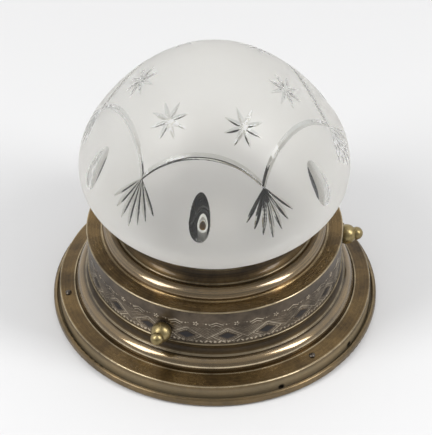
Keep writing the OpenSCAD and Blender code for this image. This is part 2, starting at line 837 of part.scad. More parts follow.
// Half outline of the porcelain without its hollows
module body_outline() {
    body_h = mouth_z - base_top_z;
    translate([0, body_z])
        square([base_out_r - base_t - plug_gap, base_wall_h + body_foot_r]);
    translate([0, base_top_z]) square([body_r - body_edge_r, body_h]);
    translate([0, base_top_z]) square([body_r - body_foot_r, body_h - body_edge_r]);
    translate([0, base_top_z + body_foot_r])
        square([body_r, body_h - body_foot_r - body_edge_r]);
    translate([body_r - body_edge_r, mouth_z - body_edge_r]) circle(r = body_edge_r);
    translate([body_r - body_foot_r, base_top_z + body_foot_r]) circle(r = body_foot_r);
}

module holder_body() {
    over = 2; // what a cut runs past the axis and the ends
    color(porcelain) difference() {
        rotate_extrude() difference() {
            body_outline();
            translate([-over, body_z - over])
                square([wiring_r + over, well_z - body_floor_t - body_z + over]);
            translate([-over, well_z]) square([well_r + over, mouth_z]);
            translate([-over, shell_top_z]) square([mouth_r + over, mouth_z]);
            difference() {
                translate([-over, mouth_z - mouth_edge_r])
                    square([mouth_r + mouth_edge_r + over, mouth_edge_r + over]);
                translate([mouth_r + mouth_edge_r, mouth_z - mouth_edge_r])
                    circle(r = mouth_edge_r);
            }
        }
        for (s = [-1, 1]) {
            translate([s * terminal_x, 0, body_z])
                cylinder(r = terminal_r + thread_gap, h = well_z - body_z + eps);
        }
        translate([0, 0, body_z]) cylinder(r = rivet_r + thread_gap, h = well_z - body_z + eps);
    }
}

module holder_shell() {
    color(bright_brass) translate([0, 0, shell_z]) difference() {
        cylinder(r = shell_out_r, h = shell_l);
        translate([0, 0, shell_t]) cylinder(r = shell_r, h = shell_l);
        translate([0, 0, -eps]) cylinder(r = shell_hole_r, h = shell_l);
    }
}

module centre_contact() {
    color(bright_brass) translate([0, 0, well_z]) {
        translate([0, 0, -contact_lift]) cylinder(r = rivet_r, h = 2 * contact_lift + eps);
        cylinder(r = washer_r, h = contact_lift / 2);
        translate([0, 0, contact_lift]) round_head(contact_r, contact_h);
    }
}

module side_contact() {
    color(bright_brass) translate([-tongue[1] / 2, terminal_x - tongue[0] / 2, well_z])
        cube([tongue[1], tongue[0], well_drop]);
}

module terminal_screws() {
    color(bright_brass) for (s = [-1, 1]) {
        translate([s * terminal_x, 0, well_z]) {
            translate([0, 0, -terminal_l]) cylinder(r = terminal_r, h = terminal_l + eps);
            slotted_head(terminal_head_r, terminal_head_h);
        }
    }
}

// Terminal block on the pan, its fixing screw at the front of the bar

insert_r = 2.8; // radius of a brass insert
insert_in = 1; // how far an insert ends inside the block
insert_web = 1; // half the metal left between an insert's two bores
way_lift = 4.6; // height of the ways over the pan
way_z = pan_t + way_lift;
clamp_y = 9; // distance of the clamping screws from the block's centre
clamp_r = 1.2; // shaft of a clamping screw
clamp_head_r = 1.8;
clamp_head_h = 1.6;
clamp_hole_r = 2; // hole over a clamping screw
clamp_lift = 0.1; // of a clamping screw over the bore's edge
fixing_sink = 3; // depth to which the fixing screw's head is sunk
fixing_head_r = 2.6;
fixing_head_h = 1.8;
fixing_hole_r = 2.8;

module block_frame() {
    translate([0, -block_x, 0]) children();
}

module terminal_block() {
    color(porcelain) block_frame() difference() {
        translate([-block_w / 2, -block_l / 2, pan_t]) cube([block_w, block_l, block_h]);
        for (s = [-1, 1]) {
            translate([s * way_pitch / 2, 0, way_z]) rotate([90, 0, 0])
                cylinder(r = insert_r + thread_gap, h = 2 * block_l, center = true);
            for (e = [-1, 1]) {
                translate([s * way_pitch / 2, e * clamp_y, way_z])
                    cylinder(r = clamp_hole_r, h = block_h);
            }
        }
        cylinder(r = block_screw_r + thread_gap, h = 2 * block_h);
        translate([0, 0, pan_t + block_h - fixing_sink])
            cylinder(r = fixing_hole_r, h = block_h);
    }
}

module block_inserts() {
    half = block_l / 2 - insert_in;
    color(bright_brass) block_frame() for (s = [-1, 1]) {
        translate([s * way_pitch / 2, 0, way_z]) difference() {
            rotate([90, 0, 0]) cylinder(r = insert_r, h = 2 * half, center = true);
            for (e = [-1, 1]) {
                translate([0, e * half, 0]) rotate([90, 0, 0])
                    cylinder(r = way_bore_r, h = 2 * (half - insert_web), center = true);
                translate([0, e * clamp_y, way_bore_r - 2 * clamp_lift])
                    cylinder(r = clamp_r + thread_gap, h = block_h);
            }
            cylinder(r = block_screw_r + 2 * seat_gap, h = 3 * insert_r, center = true);
        }
    }
}

module block_screws() {
    color(steel) block_frame() for (s = [-1, 1]) {
        for (e = [-1, 1]) {
            translate([s * way_pitch / 2, e * clamp_y, way_z + way_bore_r + clamp_lift]) {
                cylinder(r = clamp_r, h = insert_r);
                translate([0, 0, insert_r - way_bore_r + clamp_lift])
                    slotted_head(clamp_head_r, clamp_head_h);
            }
        }
    }
}

module block_fixing() {
    color(steel) block_frame() {
        cylinder(r = block_screw_r, h = pan_t + block_h - fixing_sink + fixing_head_h / 3);
        translate([0, 0, pan_t + block_h - fixing_sink])
            slotted_head(fixing_head_r, fixing_head_h);
    }
}

// Wires from the block, up the nipple's bore to the holder's terminals

wire_sides = 8; // corners of a wire's section
wire_in = 3; // length of a wire inside the block
wire_start_y = -block_x + block_l / 2 - wire_in;
wire_run = [
    [way_pitch / 2, wire_start_y, way_z], [way_pitch / 2, wire_start_y + wire_in, way_z],
    [4.4, -6.4, way_z], [3, -3, way_z + 0.5], [1.9, -0.8, way_z + 1.9],
    [1.5, 0, nipple_z], [1.5, 0, nipple_z + 8], [1.5, 0, nipple_z + nipple_l],
    [2.6, 0, nipple_z + nipple_l + 2.2], [6.2, 0, body_z + 2.2],
    [terminal_x - 0.6, 0, well_z - 6.8], [terminal_x, 0, well_z - 5.2]
];

function run_dir(p, k) = unit(p[min(k + 1, len(p) - 1)] - p[max(k - 1, 0)]);
function ring(c, d) =
    let (u = unit(cross(d, [1, 0.2, 0])), v = cross(d, u))
    [for (j = [0:wire_sides - 1])
        c + wire_r * (u * cos(j * 360 / wire_sides) + v * sin(j * 360 / wire_sides))];

module wire(side) {
    run = [for (p = wire_run) [side * p[0], p[1], p[2]]];
    last = len(run) - 1;
    points = [for (k = [0:last]) each ring(run[k], run_dir(run, k))];
    n = wire_sides;
    faces = concat(
        [[for (j = [0:n - 1]) j]],
        [for (k = [0:last - 1]) for (j = [0:n - 1])
            let (a = k * n + j, b = k * n + (j + 1) % n)
            each [[a, a + n, b + n], [a, b + n, b]]],
        [[for (j = [n - 1:-1:0]) last * n + j]]
    );
    polyhedron(points = points, faces = faces);
}

module wire_live() {
    color([0.25, 0.2, 0.17]) wire(1);
}

module wire_neutral() {
    color([0.55, 0.5, 0.42]) wire(-1);
}

ceiling_pan();
spacer_posts();
flange_shell();
flange_screws();
foot_moulding();
drum_wall();
frieze_band();
drum_cap();
gallery_ring();
screw_bosses();
thumb_screw(1);  // thumb_screw_1
thumb_screw(2);  // thumb_screw_2
thumb_screw(3);  // thumb_screw_3
screw_sleeve(1);  // screw_sleeve_1
screw_sleeve(2);  // screw_sleeve_2
screw_sleeve(3);  // screw_sleeve_3
glass_shade();
cross_bar();
bar_screws();
nipple();
nipple_nuts();
holder_base();
holder_body();
holder_shell();
centre_contact();
side_contact();
terminal_screws();
terminal_block();
block_inserts();
block_screws();
block_fixing();
wire_live();
wire_neutral();
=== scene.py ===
# %% [markdown]
# # A flush ceiling lamp with a wheel-cut glass dome
# The lamp is a stepped base of spun brass with an embossed frieze round its drum. A glass
# dome, frosted outside and cut with stars, swags, fans and olives, stands in the base's
# gallery and is held by three thumb screws. It stands on a table here, so the ceiling
# face is down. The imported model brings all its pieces, and this lesson adds what only the
# eye needs: a finer cut glass, the raised pattern of the frieze, and every finish.

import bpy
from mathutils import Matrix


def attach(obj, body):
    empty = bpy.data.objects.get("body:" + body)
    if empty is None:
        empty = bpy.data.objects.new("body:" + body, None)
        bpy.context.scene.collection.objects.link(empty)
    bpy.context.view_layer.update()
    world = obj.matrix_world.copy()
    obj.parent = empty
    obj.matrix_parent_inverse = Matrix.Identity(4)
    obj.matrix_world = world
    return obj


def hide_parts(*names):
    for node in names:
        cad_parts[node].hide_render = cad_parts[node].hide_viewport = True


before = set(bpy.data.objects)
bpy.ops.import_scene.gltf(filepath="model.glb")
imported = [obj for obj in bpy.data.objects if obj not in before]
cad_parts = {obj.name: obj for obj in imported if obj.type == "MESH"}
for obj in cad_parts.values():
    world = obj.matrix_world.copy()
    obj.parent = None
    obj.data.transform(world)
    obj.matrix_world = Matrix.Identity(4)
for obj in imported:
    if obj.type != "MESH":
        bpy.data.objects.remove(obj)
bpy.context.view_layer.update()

# %% [markdown]
# ## The camera
# The camera comes first, since everything else is judged through it. It looks down at
# about 43 degrees from nearly two metres through a long lens, which keeps the rings of
# the base almost parallel. A constraint could aim it, but three small turns say exactly
# how far off the lamp's middle it points.

# %% Directions of the camera
import bpy
import math
from mathutils import Matrix, Vector

CAMERA_LIFT = 0.7555416
CAMERA_DISTANCE = 1.86223
AIM_YAW, AIM_PITCH, AIM_ROLL = -0.00056381, 0.03095222, -0.00409212

toward_camera = Vector((0.0, -math.cos(CAMERA_LIFT), math.sin(CAMERA_LIFT)))
back = toward_camera.copy()
right = Vector((1.0, 0.0, 0.0))
up = back.cross(right)
yaw = Matrix.Rotation(AIM_YAW, 3, up)
back, right = yaw @ back, yaw @ right
pitch = Matrix.Rotation(AIM_PITCH, 3, right)
back, up = pitch @ back, pitch @ up
roll = Matrix.Rotation(AIM_ROLL, 3, back)
right, up = roll @ right, roll @ up
print("the camera looks down from", round(math.degrees(CAMERA_LIFT), 1), "degrees")

# %% [markdown]
# ## The lens
# The camera was solved from a picture of 432 by 435 pixels, so its focal length is in
# pixels. The sensor's width turns that into millimetres.

# %% Place the camera
IMAGE_W, IMAGE_H = 432, 435
SENSOR = 36.0
CAMERA_FOCAL_PX = 2390.69
NEAREST, FARTHEST = 0.05, 60.0

camera_data = bpy.data.cameras.new("camera")
camera_data.sensor_width = SENSOR
camera_data.lens = CAMERA_FOCAL_PX / max(IMAGE_W, IMAGE_H) * SENSOR
camera_data.clip_start = NEAREST
camera_data.clip_end = FARTHEST
camera = bpy.data.objects.new("camera", camera_data)
camera_turn = Matrix((right, up, back)).transposed().to_4x4()
camera.matrix_world = Matrix.Translation(toward_camera * CAMERA_DISTANCE) @ camera_turn
bpy.context.scene.collection.objects.link(camera)
bpy.context.scene.camera = camera
print("lens:", round(camera_data.lens, 2), "mm, at", [round(v, 3) for v in camera.location])

# %% [markdown]
# ## Helpers for materials
# Every finish is a small graph of nodes. One helper makes a material with its main
# shader, one adds a node with its sockets filled in, and the others do sums, make a
# colour ramp, stretch a range, or lay one colour over another.

# %% Material helpers
def finish(name, **sockets):
    """A new material, its main shader and its node tree."""
    mat = bpy.data.materials.new(name)
    mat.use_nodes = True
    tree = mat.node_tree
    shader = tree.nodes["Principled BSDF"]
    for key, value in sockets.items():
        shader.inputs[key.replace("_", " ")].default_value = value
    return mat, shader, tree


def add(tree, kind, settings=None, **inputs):
    """A node with settings. Its inputs are given by name, or by number as i0, i1, i2."""
    node = tree.nodes.new("ShaderNode" + kind)
    for key, value in (settings or {}).items():
        setattr(node, key, value)
    for key, value in inputs.items():
        numbered = key[0] == "i" and key[1:].isdigit()
        socket = node.inputs[int(key[1:])] if numbered else node.inputs[key]
        if isinstance(value, bpy.types.NodeSocket):
            tree.links.new(value, socket)
        else:
            socket.default_value = value
    return node


def math_node(tree, operation, a, b=0.0, clamp=False):
    """The result of one sum on two values or sockets."""
    return add(tree, "Math", {"operation": operation, "use_clamp": clamp}, i0=a, i1=b).outputs[0]


def times(tree, a, b):
    return math_node(tree, "MULTIPLY", a, b)


def plus(tree, a, b):
    return math_node(tree, "ADD", a, b)


def larger(tree, a, b):
    return math_node(tree, "MAXIMUM", a, b)


def ramp(tree, factor, stops):
    """A colour ramp from (place, colour) stops."""
    node = add(tree, "ValToRGB", i0=factor)
    elements = node.color_ramp.elements
    while len(elements) < len(stops):
        elements.new(0.5)
    for element, (place, colour) in zip(elements, stops):
        element.position = place
        element.color = (*colour, 1.0)
    return node.outputs["Color"]


def fit(tree, value, low, high, to_low=0.0, to_high=1.0):
    """Maps a value from one range to another and holds it there."""
    return add(
        tree, "MapRange", {"clamp": True}, i0=value, i1=low, i2=high, i3=to_low, i4=to_high
    ).outputs[0]


def over(tree, share, under, colour):
    """A plain colour laid over another one by a share from 0 to 1."""
    return add(tree, "MixRGB", i0=share, i1=under, i2=(*colour, 1.0)).outputs[0]


print("helpers for materials are ready")

# %% [markdown]
# ## Where the brass is bright and where it is dark
# The base was spun on a lathe, so all its edges and grooves are rings, and a ring is
# known by its radius and height. Hands and cloths rub the raised edges bright, and the
# same pale lines stand for painted highlights where those edges would catch the light.
# The crowns of the two rolls keep their polish. The grooves, two hollows and the floor
# inside the base are painted dark: painted shade, with some dirt in the grooves.
# Painting those places by hand would need a picture. Measuring how far a place is from
# such a ring does the same with a few sums, and the brass stays sharp at any size.

# %% Masks from rings and holes
# Edges rubbed bright by wear. Their pale lines also stand for painted highlights.
WORN_AND_LIT_EDGES = (
    (119.9, 15.8), (108.0, 18.3), (106.1, 22.4), (97.4, 37.9), (97.4, 70.0), (85.6, 70.4),
    (75.5, 78.8), (68.9, 86.4), (122.6, 6.7), (99.3, 28.4),
)
# Grooves painted dark: painted shade, with some dirt.
SHADED_DIRTY_GROOVES = ((107.2, 17.4), (106.6, 19.4), (84.7, 71.2), (97.6, 36.6), (72.4, 76.9))
# The scotia under the frieze and the gallery's throat, painted dark as shade.
SHADED = ((98.0, 32.5), (71.0, 83.0))
POLISHED = ((103.8, 24.8), (82.6, 75.4))
# Pin holes in the skirt. The dark discs round them are painted shade of the holes.
PIN_HOLES = ((24.1, 120.0, 6.0), (57.3, 120.0, 6.0))
FRONT = -90.0


def round_the_axis(tree):
    """Sockets for the distance from the lamp's axis, the height and the place itself."""
    place = add(tree, "TexCoord").outputs["Object"]
    parts = add(tree, "SeparateXYZ", i0=place).outputs
    square = plus(tree, times(tree, parts[0], parts[0]), times(tree, parts[1], parts[1]))
    return math_node(tree, "SQRT", square), parts[2], place


def near_rings(tree, radius, height, rings, reach):
    """1 on the listed rings, given in millimetres, falling to 0 at reach from them."""
    nearest = None
    for ring_r, ring_z in rings:
        out = math_node(tree, "SUBTRACT", radius, ring_r / 1000)
        high = math_node(tree, "SUBTRACT", height, ring_z / 1000)
        square = plus(tree, times(tree, out, out), times(tree, high, high))
        part = fit(tree, math_node(tree, "SQRT", square), 0.0, reach, 1.0, 0.0)
        nearest = part if nearest is None else larger(tree, nearest, part)
    return nearest


def near_holes(tree, place, holes, reach):
    """1 at the listed holes, given by turn, radius and height, falling to 0 at reach."""
    nearest = 0.0
    for turn, r, z in holes:
        a = math.radians(turn + FRONT)
        middle = (r * math.cos(a) / 1000, r * math.sin(a) / 1000, z / 1000)
        far = add(tree, "VectorMath", {"operation": "DISTANCE"}, i0=place, i1=middle)
        part = fit(tree, far.outputs["Value"], reach * 0.5, reach, 1.0, 0.0)
        nearest = larger(tree, part, nearest)
    return nearest


print("rings rubbed bright:", len(WORN_AND_LIT_EDGES), "- rings with dirt:", len(SHADED_DIRTY_GROOVES))

# %% [markdown]
# ## The stains of old brass
# A brown patina has grown on the metal for about a century. It is cloudy at the size of
# a thumb, with fine specks, and crossed by the very fine rings that the lathe left. The
# rings change only with the distance from the axis and the height, so their noise is
# read in those two directions and not along the turn. One mixed noise is simpler than
# three layers of colour, and it also drives how rough the metal is.

# %% Noises of the brass
CLOUD_SCALE, SPECK_SCALE, LATHE_SCALE = 38.0, 420.0, 1300.0
CLOUD_SHARE, SPECK_SHARE, LATHE_SHARE = 0.52, 0.13, 0.35


def noise(tree, where, scale, detail, **more):
    return add(tree, "TexNoise", Vector=where, Scale=scale, Detail=detail, **more).outputs[0]


def brass_noises(tree, radius, height, place):
    """The mixed stain, and its specks and lathe rings on their own."""
    cloud = noise(tree, place, CLOUD_SCALE, 6.0, Roughness=0.62)
    speck = noise(tree, place, SPECK_SCALE, 3.0, Roughness=0.6)
    turned = add(tree, "CombineXYZ", i0=radius, i1=height, i2=0.0).outputs[0]
    lathe = noise(tree, turned, LATHE_SCALE, 2.0)
    stain = plus(tree, times(tree, speck, SPECK_SHARE), times(tree, cloud, CLOUD_SHARE))
    stain = plus(tree, times(tree, lathe, LATHE_SHARE), stain)
    return stain, speck, lathe


print("share of the lathe's rings in the stain:", LATHE_SHARE)

# %% [markdown]
# ## Polish, wear, painted shade and the skirt
# Each mask is highest where it acts and runs out softly. Wear, with the painted
# highlights on the edges, shows most where the stain is light, so it is multiplied by the
# stain. The shade mask joins the painted shade of the grooves, which also stands for their
# dirt, of the hollows and of the low places inside the base. The flange's upright skirt
# is rougher, and it is painted paler to lift the dark reflection of the lip below it.

# %% Masks of the brass
POLISH_REACH, POLISH_GAIN = 0.0075, 1.6
WEAR_AND_GLINT_REACH, GROOVE_SHADE_REACH, HOLLOW_SHADE_REACH, HOLE_SHADE_REACH = 0.0011, 0.0009, 0.0085, 0.0032
GROOVE_SHADE_AND_DIRT, HOLLOW_SHADE, FLOOR_SHADE = 0.9, 0.85, 0.9
FLOOR_R, FLOOR_Z = (0.110, 0.116), (0.010, 0.014)
SKIRT_IN_R, SKIRT_OUT_R, SKIRT_TOP_Z = (0.1180, 0.1192), (0.1208, 0.1218), (0.0115, 0.0150)
LIP_SHARE = 0.25


def polish_mask(tree, radius, height):
    crowns = near_rings(tree, radius, height, POLISHED, POLISH_REACH)
    return math_node(tree, "MULTIPLY", crowns, POLISH_GAIN, clamp=True)


def wear_and_glint_mask(tree, radius, height, stain, edge_wear_and_glint):
    worn_and_lit_edges = near_rings(tree, radius, height, WORN_AND_LIT_EDGES, WEAR_AND_GLINT_REACH)
    return times(tree, times(tree, worn_and_lit_edges, fit(tree, stain, 0.38, 0.56, 0.25, 1.0)), edge_wear_and_glint)


# Painted shade in the grooves, with their dirt, in two hollows, and on the floor inside the base.
def shade_and_dirt_mask(tree, radius, height):
    shaded_grooves = times(tree, near_rings(tree, radius, height, SHADED_DIRTY_GROOVES, GROOVE_SHADE_REACH), GROOVE_SHADE_AND_DIRT)
    shaded_hollows = times(tree, near_rings(tree, radius, height, SHADED, HOLLOW_SHADE_REACH), HOLLOW_SHADE)
    # Painted shade on the low floor inside the base.
    shaded_floor = times(tree, fit(tree, radius, *FLOOR_R, FLOOR_SHADE, 0.0),
                  fit(tree, height, *FLOOR_Z, 1.0, 0.0))
    return larger(tree, larger(tree, shaded_grooves, shaded_hollows), shaded_floor)


# The skirt: rougher, and painted paler to lift the dark reflection of the lip below it.
def skirt_mask_with_lift(tree, radius, height):
    outside = times(tree, fit(tree, radius, *SKIRT_IN_R), fit(tree, height, *SKIRT_TOP_Z, 1.0, 0.0))
    return times(tree, outside, fit(tree, radius, *SKIRT_OUT_R, 1.0, LIP_SHARE))


print("wear reaches", WEAR_AND_GLINT_REACH * 1000, "mm from an edge")

# %% [markdown]
# ## The whole finish of the brass
# The colour starts as a ramp along the stain, and each mask lays its own colour over it.
# A clear coat is strongest on the polished rolls, so their highlights are white and the
# flat faces stay brown. The lathe's marks stretch every highlight, so the shine is
# anisotropic round the lamp's axis.

# %% Brass with patina, lathe rings and rubbed edges
POLISHED_TONE, BRIGHT_GAIN = 0.085, 1.7
POLISHED_SHARE, POLISHED_DIM = 0.16, 0.42
SKIRT_LIFT_SHARE, SKIRT_LIFT_DIM, SKIRT_ROUGH = 0.42, 0.58, 0.35
STREAK_SHARE = 0.5
LACQUER_LEAST, LACQUER_MOST = 0.15, 0.72
SHADE_AND_GRIME, STREAK_AND_HOLE_DARK = (0.014, 0.010, 0.006), (0.010, 0.007, 0.004)
BRASS_BUMP, BRASS_BUMP_DEPTH = 0.12, 0.0003


def old_brass(name, dark, mid, light, roughness=0.26, edge_wear_and_glint=0.75):
    """Patinated brass: colours from the darkest stain to the rubbed metal."""
    mat, shader, tree = finish(name, Metallic=0.88, Coat_Roughness=0.11, Coat_IOR=1.75,
                               Anisotropic=0.55, Anisotropic_Rotation=0.25)
    around = add(tree, "Tangent", {"direction_type": "RADIAL", "axis": "Z"})
    tree.links.new(around.outputs[0], shader.inputs["Tangent"])
    radius, height, place = round_the_axis(tree)
    stain, speck, lathe = brass_noises(tree, radius, height, place)
    polished = polish_mask(tree, radius, height)
    shade_and_dirt = shade_and_dirt_mask(tree, radius, height)
    skirt_with_lift = skirt_mask_with_lift(tree, radius, height)

    tone = plus(tree, stain, times(tree, polished, POLISHED_TONE))
    bright = [v * BRIGHT_GAIN for v in mid]
    colour = ramp(tree, tone, ((0.37, dark), (0.50, mid), (0.63, bright)))
    polished_light = [v * POLISHED_DIM for v in light]
    colour = over(tree, times(tree, polished, POLISHED_SHARE), colour, polished_light)
    # Wear and painted highlights along the edges, in the pale brass colour.
    colour = over(tree, wear_and_glint_mask(tree, radius, height, stain, edge_wear_and_glint), colour, light)
    # Painted shade, with some dirt in the grooves, in a near-black colour.
    colour = over(tree, shade_and_dirt, colour, SHADE_AND_GRIME)
    # Painted lighter colour on the skirt, against the dark reflection of the lip.
    colour = over(tree, times(tree, skirt_with_lift, SKIRT_LIFT_SHARE), colour, [v * SKIRT_LIFT_DIM for v in light])
    streaks = times(tree, fit(tree, lathe, 0.50, 0.42), polished)
    # Dark lathe streaks on the rolls, and painted shade round the pin holes.
    painted_hole_shade = near_holes(tree, place, PIN_HOLES, HOLE_SHADE_REACH)
    streaks_and_hole_shade = larger(tree, times(tree, streaks, STREAK_SHARE), painted_hole_shade)
    colour = over(tree, streaks_and_hole_shade, colour, STREAK_AND_HOLE_DARK)
    tree.links.new(colour, shader.inputs["Base Color"])

    lacquer = fit(tree, polished, 0.0, 1.0, LACQUER_LEAST, LACQUER_MOST)
    tree.links.new(lacquer, shader.inputs["Coat Weight"])
    rough = fit(tree, stain, 0.36, 0.64, roughness + 0.08, roughness - 0.04)
    rough = plus(tree, rough, times(tree, shade_and_dirt, 0.3))
    rough = math_node(tree, "SUBTRACT", rough, times(tree, polished, 0.08))
    rough = plus(tree, rough, times(tree, skirt_with_lift, SKIRT_ROUGH))
    tree.links.new(rough, shader.inputs["Roughness"])
    relief = plus(tree, times(tree, lathe, 0.45), times(tree, speck, 0.4))
    bump = add(tree, "Bump", i0=BRASS_BUMP, i1=BRASS_BUMP_DEPTH, Height=relief)
    tree.links.new(bump.outputs[0], shader.inputs["Normal"])
    return mat


base_brass = old_brass(
    "base_brass", (0.044, 0.027, 0.011), (0.122, 0.077, 0.029), (0.80, 0.68, 0.46)
)
# A darker copy of the brass for the pieces inside the base: unpolished patina, with painted shade
# for the dim inside.
shaded_inner_brass = old_brass(
    "shaded_inner_brass", (0.014, 0.010, 0.006), (0.045, 0.032, 0.018), (0.2, 0.15, 0.09),
    roughness=0.45, edge_wear_and_glint=0.1,
)
print("brass finishes made:", base_brass.name, shaded_inner_brass.name)

# %% [markdown]
# ## Bright brass, porcelain, steel, rubber and covered wire
# The thumb screws are handled, so they stay golden. The lampholder inside is porcelain
# and brass, and it shows through the clear cut at the front, so these pieces get real
# finishes too, plainer than the outside. They share one recipe: a colour that drifts
# between two tones, and where it is wanted a slightly uneven face.

# %% The other finishes
def cloudy(name, colour_a, colour_b, scale, bump_strength=0.0, bump_depth=0.0002, **sockets):
    """A finish whose colour drifts between two tones and whose face is slightly uneven."""
    mat, shader, tree = finish(name, **sockets)
    cloud = noise(tree, add(tree, "TexCoord").outputs["Object"], scale, 5.0, Roughness=0.6)
    colour = ramp(tree, cloud, ((0.35, colour_a), (0.65, colour_b)))
    tree.links.new(colour, shader.inputs["Base Color"])
    if bump_strength:
        bump = add(tree, "Bump", i0=bump_strength, i1=bump_depth, Height=cloud)
        tree.links.new(bump.outputs[0], shader.inputs["Normal"])
    return mat


thumb_brass = cloudy("thumb_brass", (0.22, 0.172, 0.082), (0.35, 0.280, 0.140), 260.0,
                     bump_strength=0.08, Metallic=1.0, Roughness=0.36)
fitting_brass = cloudy("fitting_brass", (0.30, 0.22, 0.09), (0.46, 0.34, 0.15), 300.0,
                       Metallic=1.0, Roughness=0.3)
screw_brass = cloudy("screw_brass", (0.05, 0.042, 0.035), (0.15, 0.13, 0.11), 900.0,
                     Metallic=1.0, Roughness=0.34)
porcelain = cloudy("porcelain", (0.78, 0.76, 0.70), (0.86, 0.85, 0.80), 60.0,
                   Roughness=0.12, Coat_Weight=0.4, Coat_Roughness=0.05)
steel = cloudy("steel", (0.14, 0.13, 0.12), (0.26, 0.25, 0.23), 240.0,
               Metallic=1.0, Roughness=0.38)
rubber = cloudy("rubber", (0.05, 0.045, 0.04), (0.09, 0.08, 0.07), 500.0,
                bump_strength=0.3, Roughness=0.7)
dark_wire = cloudy("dark_wire", (0.03, 0.025, 0.02), (0.08, 0.06, 0.05), 2200.0,
                   bump_strength=0.6, bump_depth=0.0003, Roughness=0.85)
light_wire = cloudy("light_wire", (0.30, 0.26, 0.19), (0.44, 0.38, 0.28), 2200.0,
                    bump_strength=0.6, bump_depth=0.0003, Roughness=0.85)
print("finishes so far:", len(bpy.data.materials))

# %% [markdown]
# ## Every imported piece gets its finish
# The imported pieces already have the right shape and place, so only their material slots
# change. The glass and the frieze's band get none, since finer ones are built below.

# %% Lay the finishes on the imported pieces
finishes = {
    base_brass: ("ceiling_pan", "flange_shell", "foot_moulding", "drum_cap", "gallery_ring"),
    shaded_inner_brass: ("spacer_posts", "drum_wall", "screw_bosses"),
    thumb_brass: ("thumb_screw_1", "thumb_screw_2", "thumb_screw_3"),
    fitting_brass: ("nipple", "nipple_nuts", "holder_base", "holder_shell", "centre_contact",
                    "side_contact", "terminal_screws", "block_inserts"),
    screw_brass: ("flange_screws",),
    porcelain: ("holder_body", "terminal_block"),
    steel: ("cross_bar", "bar_screws", "block_screws", "block_fixing"),
    rubber: ("screw_sleeve_1", "screw_sleeve_2", "screw_sleeve_3"),
    dark_wire: ("wire_live",),
    light_wire: ("wire_neutral",),
}
for material, names in finishes.items():
    for name in names:
        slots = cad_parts[name].data.materials
        slots.clear()
        slots.append(material)
print("finishes laid on", sum(len(v) for v in finishes.values()), "packed pieces")

# %% [markdown]
# ## The outline of the glass
# The dome is five arcs that run into each other: a round crown, a flatter shoulder, a
# full belly, a tight haunch below the widest place and a long underside that draws in to
# the neck. Each arc is known by its centre and radius, so a point on it is found from
# the steepness of its face: 90 degrees is level at the top, 0 is upright. A curve with
# handles could draw this too, but arcs give the exact outward direction everywhere.

# %% Arcs of the glass
import numpy as np

GLASS_R, GLASS_EQ_Z = 100.8, 131.4
BELLY_R, BELLY_SWEEP = 50.3, 27.2
SHOULDER_R, CAP_FROM = 166.4, 50.8
HAUNCH_R, HAUNCH_SWEEP = 29.0, 32.0
UNDER_R = 71.0
CREASE = 0.8


def unit(e):
    """Unit vector, outwards and up, at a steepness in degrees."""
    return np.array([math.cos(math.radians(e)), math.sin(math.radians(e))])


belly_c = np.array([GLASS_R - BELLY_R, GLASS_EQ_Z])
belly_end = belly_c + BELLY_R * unit(BELLY_SWEEP)
shoulder_c = belly_end - SHOULDER_R * unit(BELLY_SWEEP + CREASE)
shoulder_end = shoulder_c + SHOULDER_R * unit(CAP_FROM)
crown_r = shoulder_end[0] / math.cos(math.radians(CAP_FROM + CREASE))
crown_drop = crown_r * math.sin(math.radians(CAP_FROM + CREASE))
crown_c = np.array([0.0, shoulder_end[1] - crown_drop])
haunch_c = np.array([GLASS_R - HAUNCH_R, GLASS_EQ_Z])
haunch_end = haunch_c + HAUNCH_R * unit(-HAUNCH_SWEEP)
under_c = haunch_end - UNDER_R * unit(-HAUNCH_SWEEP - CREASE)
print("top of the glass:", round(crown_c[1] + crown_r, 2), "mm")

# %% [markdown]
# ## Places on the dome
# A place is named by its turn round the axis, from the front, and by its steepness. The
# pattern comes round six times, but a little unevenly, so each knot, star and olive has
# its own place here. The knots and olives at the back can't be seen and are guessed.

# %% Set out the pattern
KNOTS = ((-98.0, 35.4), (-38.0, 35.5), (24.5, 35.4), (83.8, 35.6), (143.6, 35.2), (202.6, 35.5))
STARS = ((-94.5, 52.1), (-37.6, 52.4), (23.1, 51.8), (80.8, 53.0), (143.0, 50.6), (203.4, 50.4))
OLIVES = (
    (-66.8, 27.0), (-6.4, 27.0), (54.0, 27.0), (113.4, 27.0), (173.4, 27.0), (232.6, 27.0),
)
PEAKS_E = (44.2, 44.4, 44.0, 44.3, 44.4, 44.2)


def dome(e):
    """The dome's point of radius and height at steepness e."""
    if e < BELLY_SWEEP:
        return belly_c + BELLY_R * unit(e)
    if e < CAP_FROM:
        return shoulder_c + SHOULDER_R * unit(e)
    return crown_c + crown_r * unit(e)


def at(turn, e):
    """A place on the dome, by its turn from the front and its steepness."""
    r, z = dome(e)
    a = math.radians(turn + FRONT)
    return np.array([r * math.cos(a), r * math.sin(a), z])


def outwards(turn, e):
    """The dome's outward direction there."""
    c, s = unit(e)
    a = math.radians(turn + FRONT)
    return np.array([c * math.cos(a), c * math.sin(a), s])


def level(v):
    """The same direction with a length of 1."""
    return v / np.linalg.norm(v)


print("radius and height of the front olive:", np.round(dome(OLIVES[1][1]), 1), "mm")

# %% [markdown]
# ## Leaves and rays: the sharp stone
# A glass cutter presses the dome on a turning stone. A stone with a sharp edge leaves a
# mitre cut, which is a valley with two flat sides. The leaves of the fans and the rays of
# the stars are such valleys. A leaf is deepest past its middle and a ray before it, and
# both run out to a point. Each cut is worked out as a depth below the uncut dome and
# pressed into the mesh, because real valleys bend light as no bump can. The slope of
# their sides decides what is seen through them, so it was chosen by looking at renders.

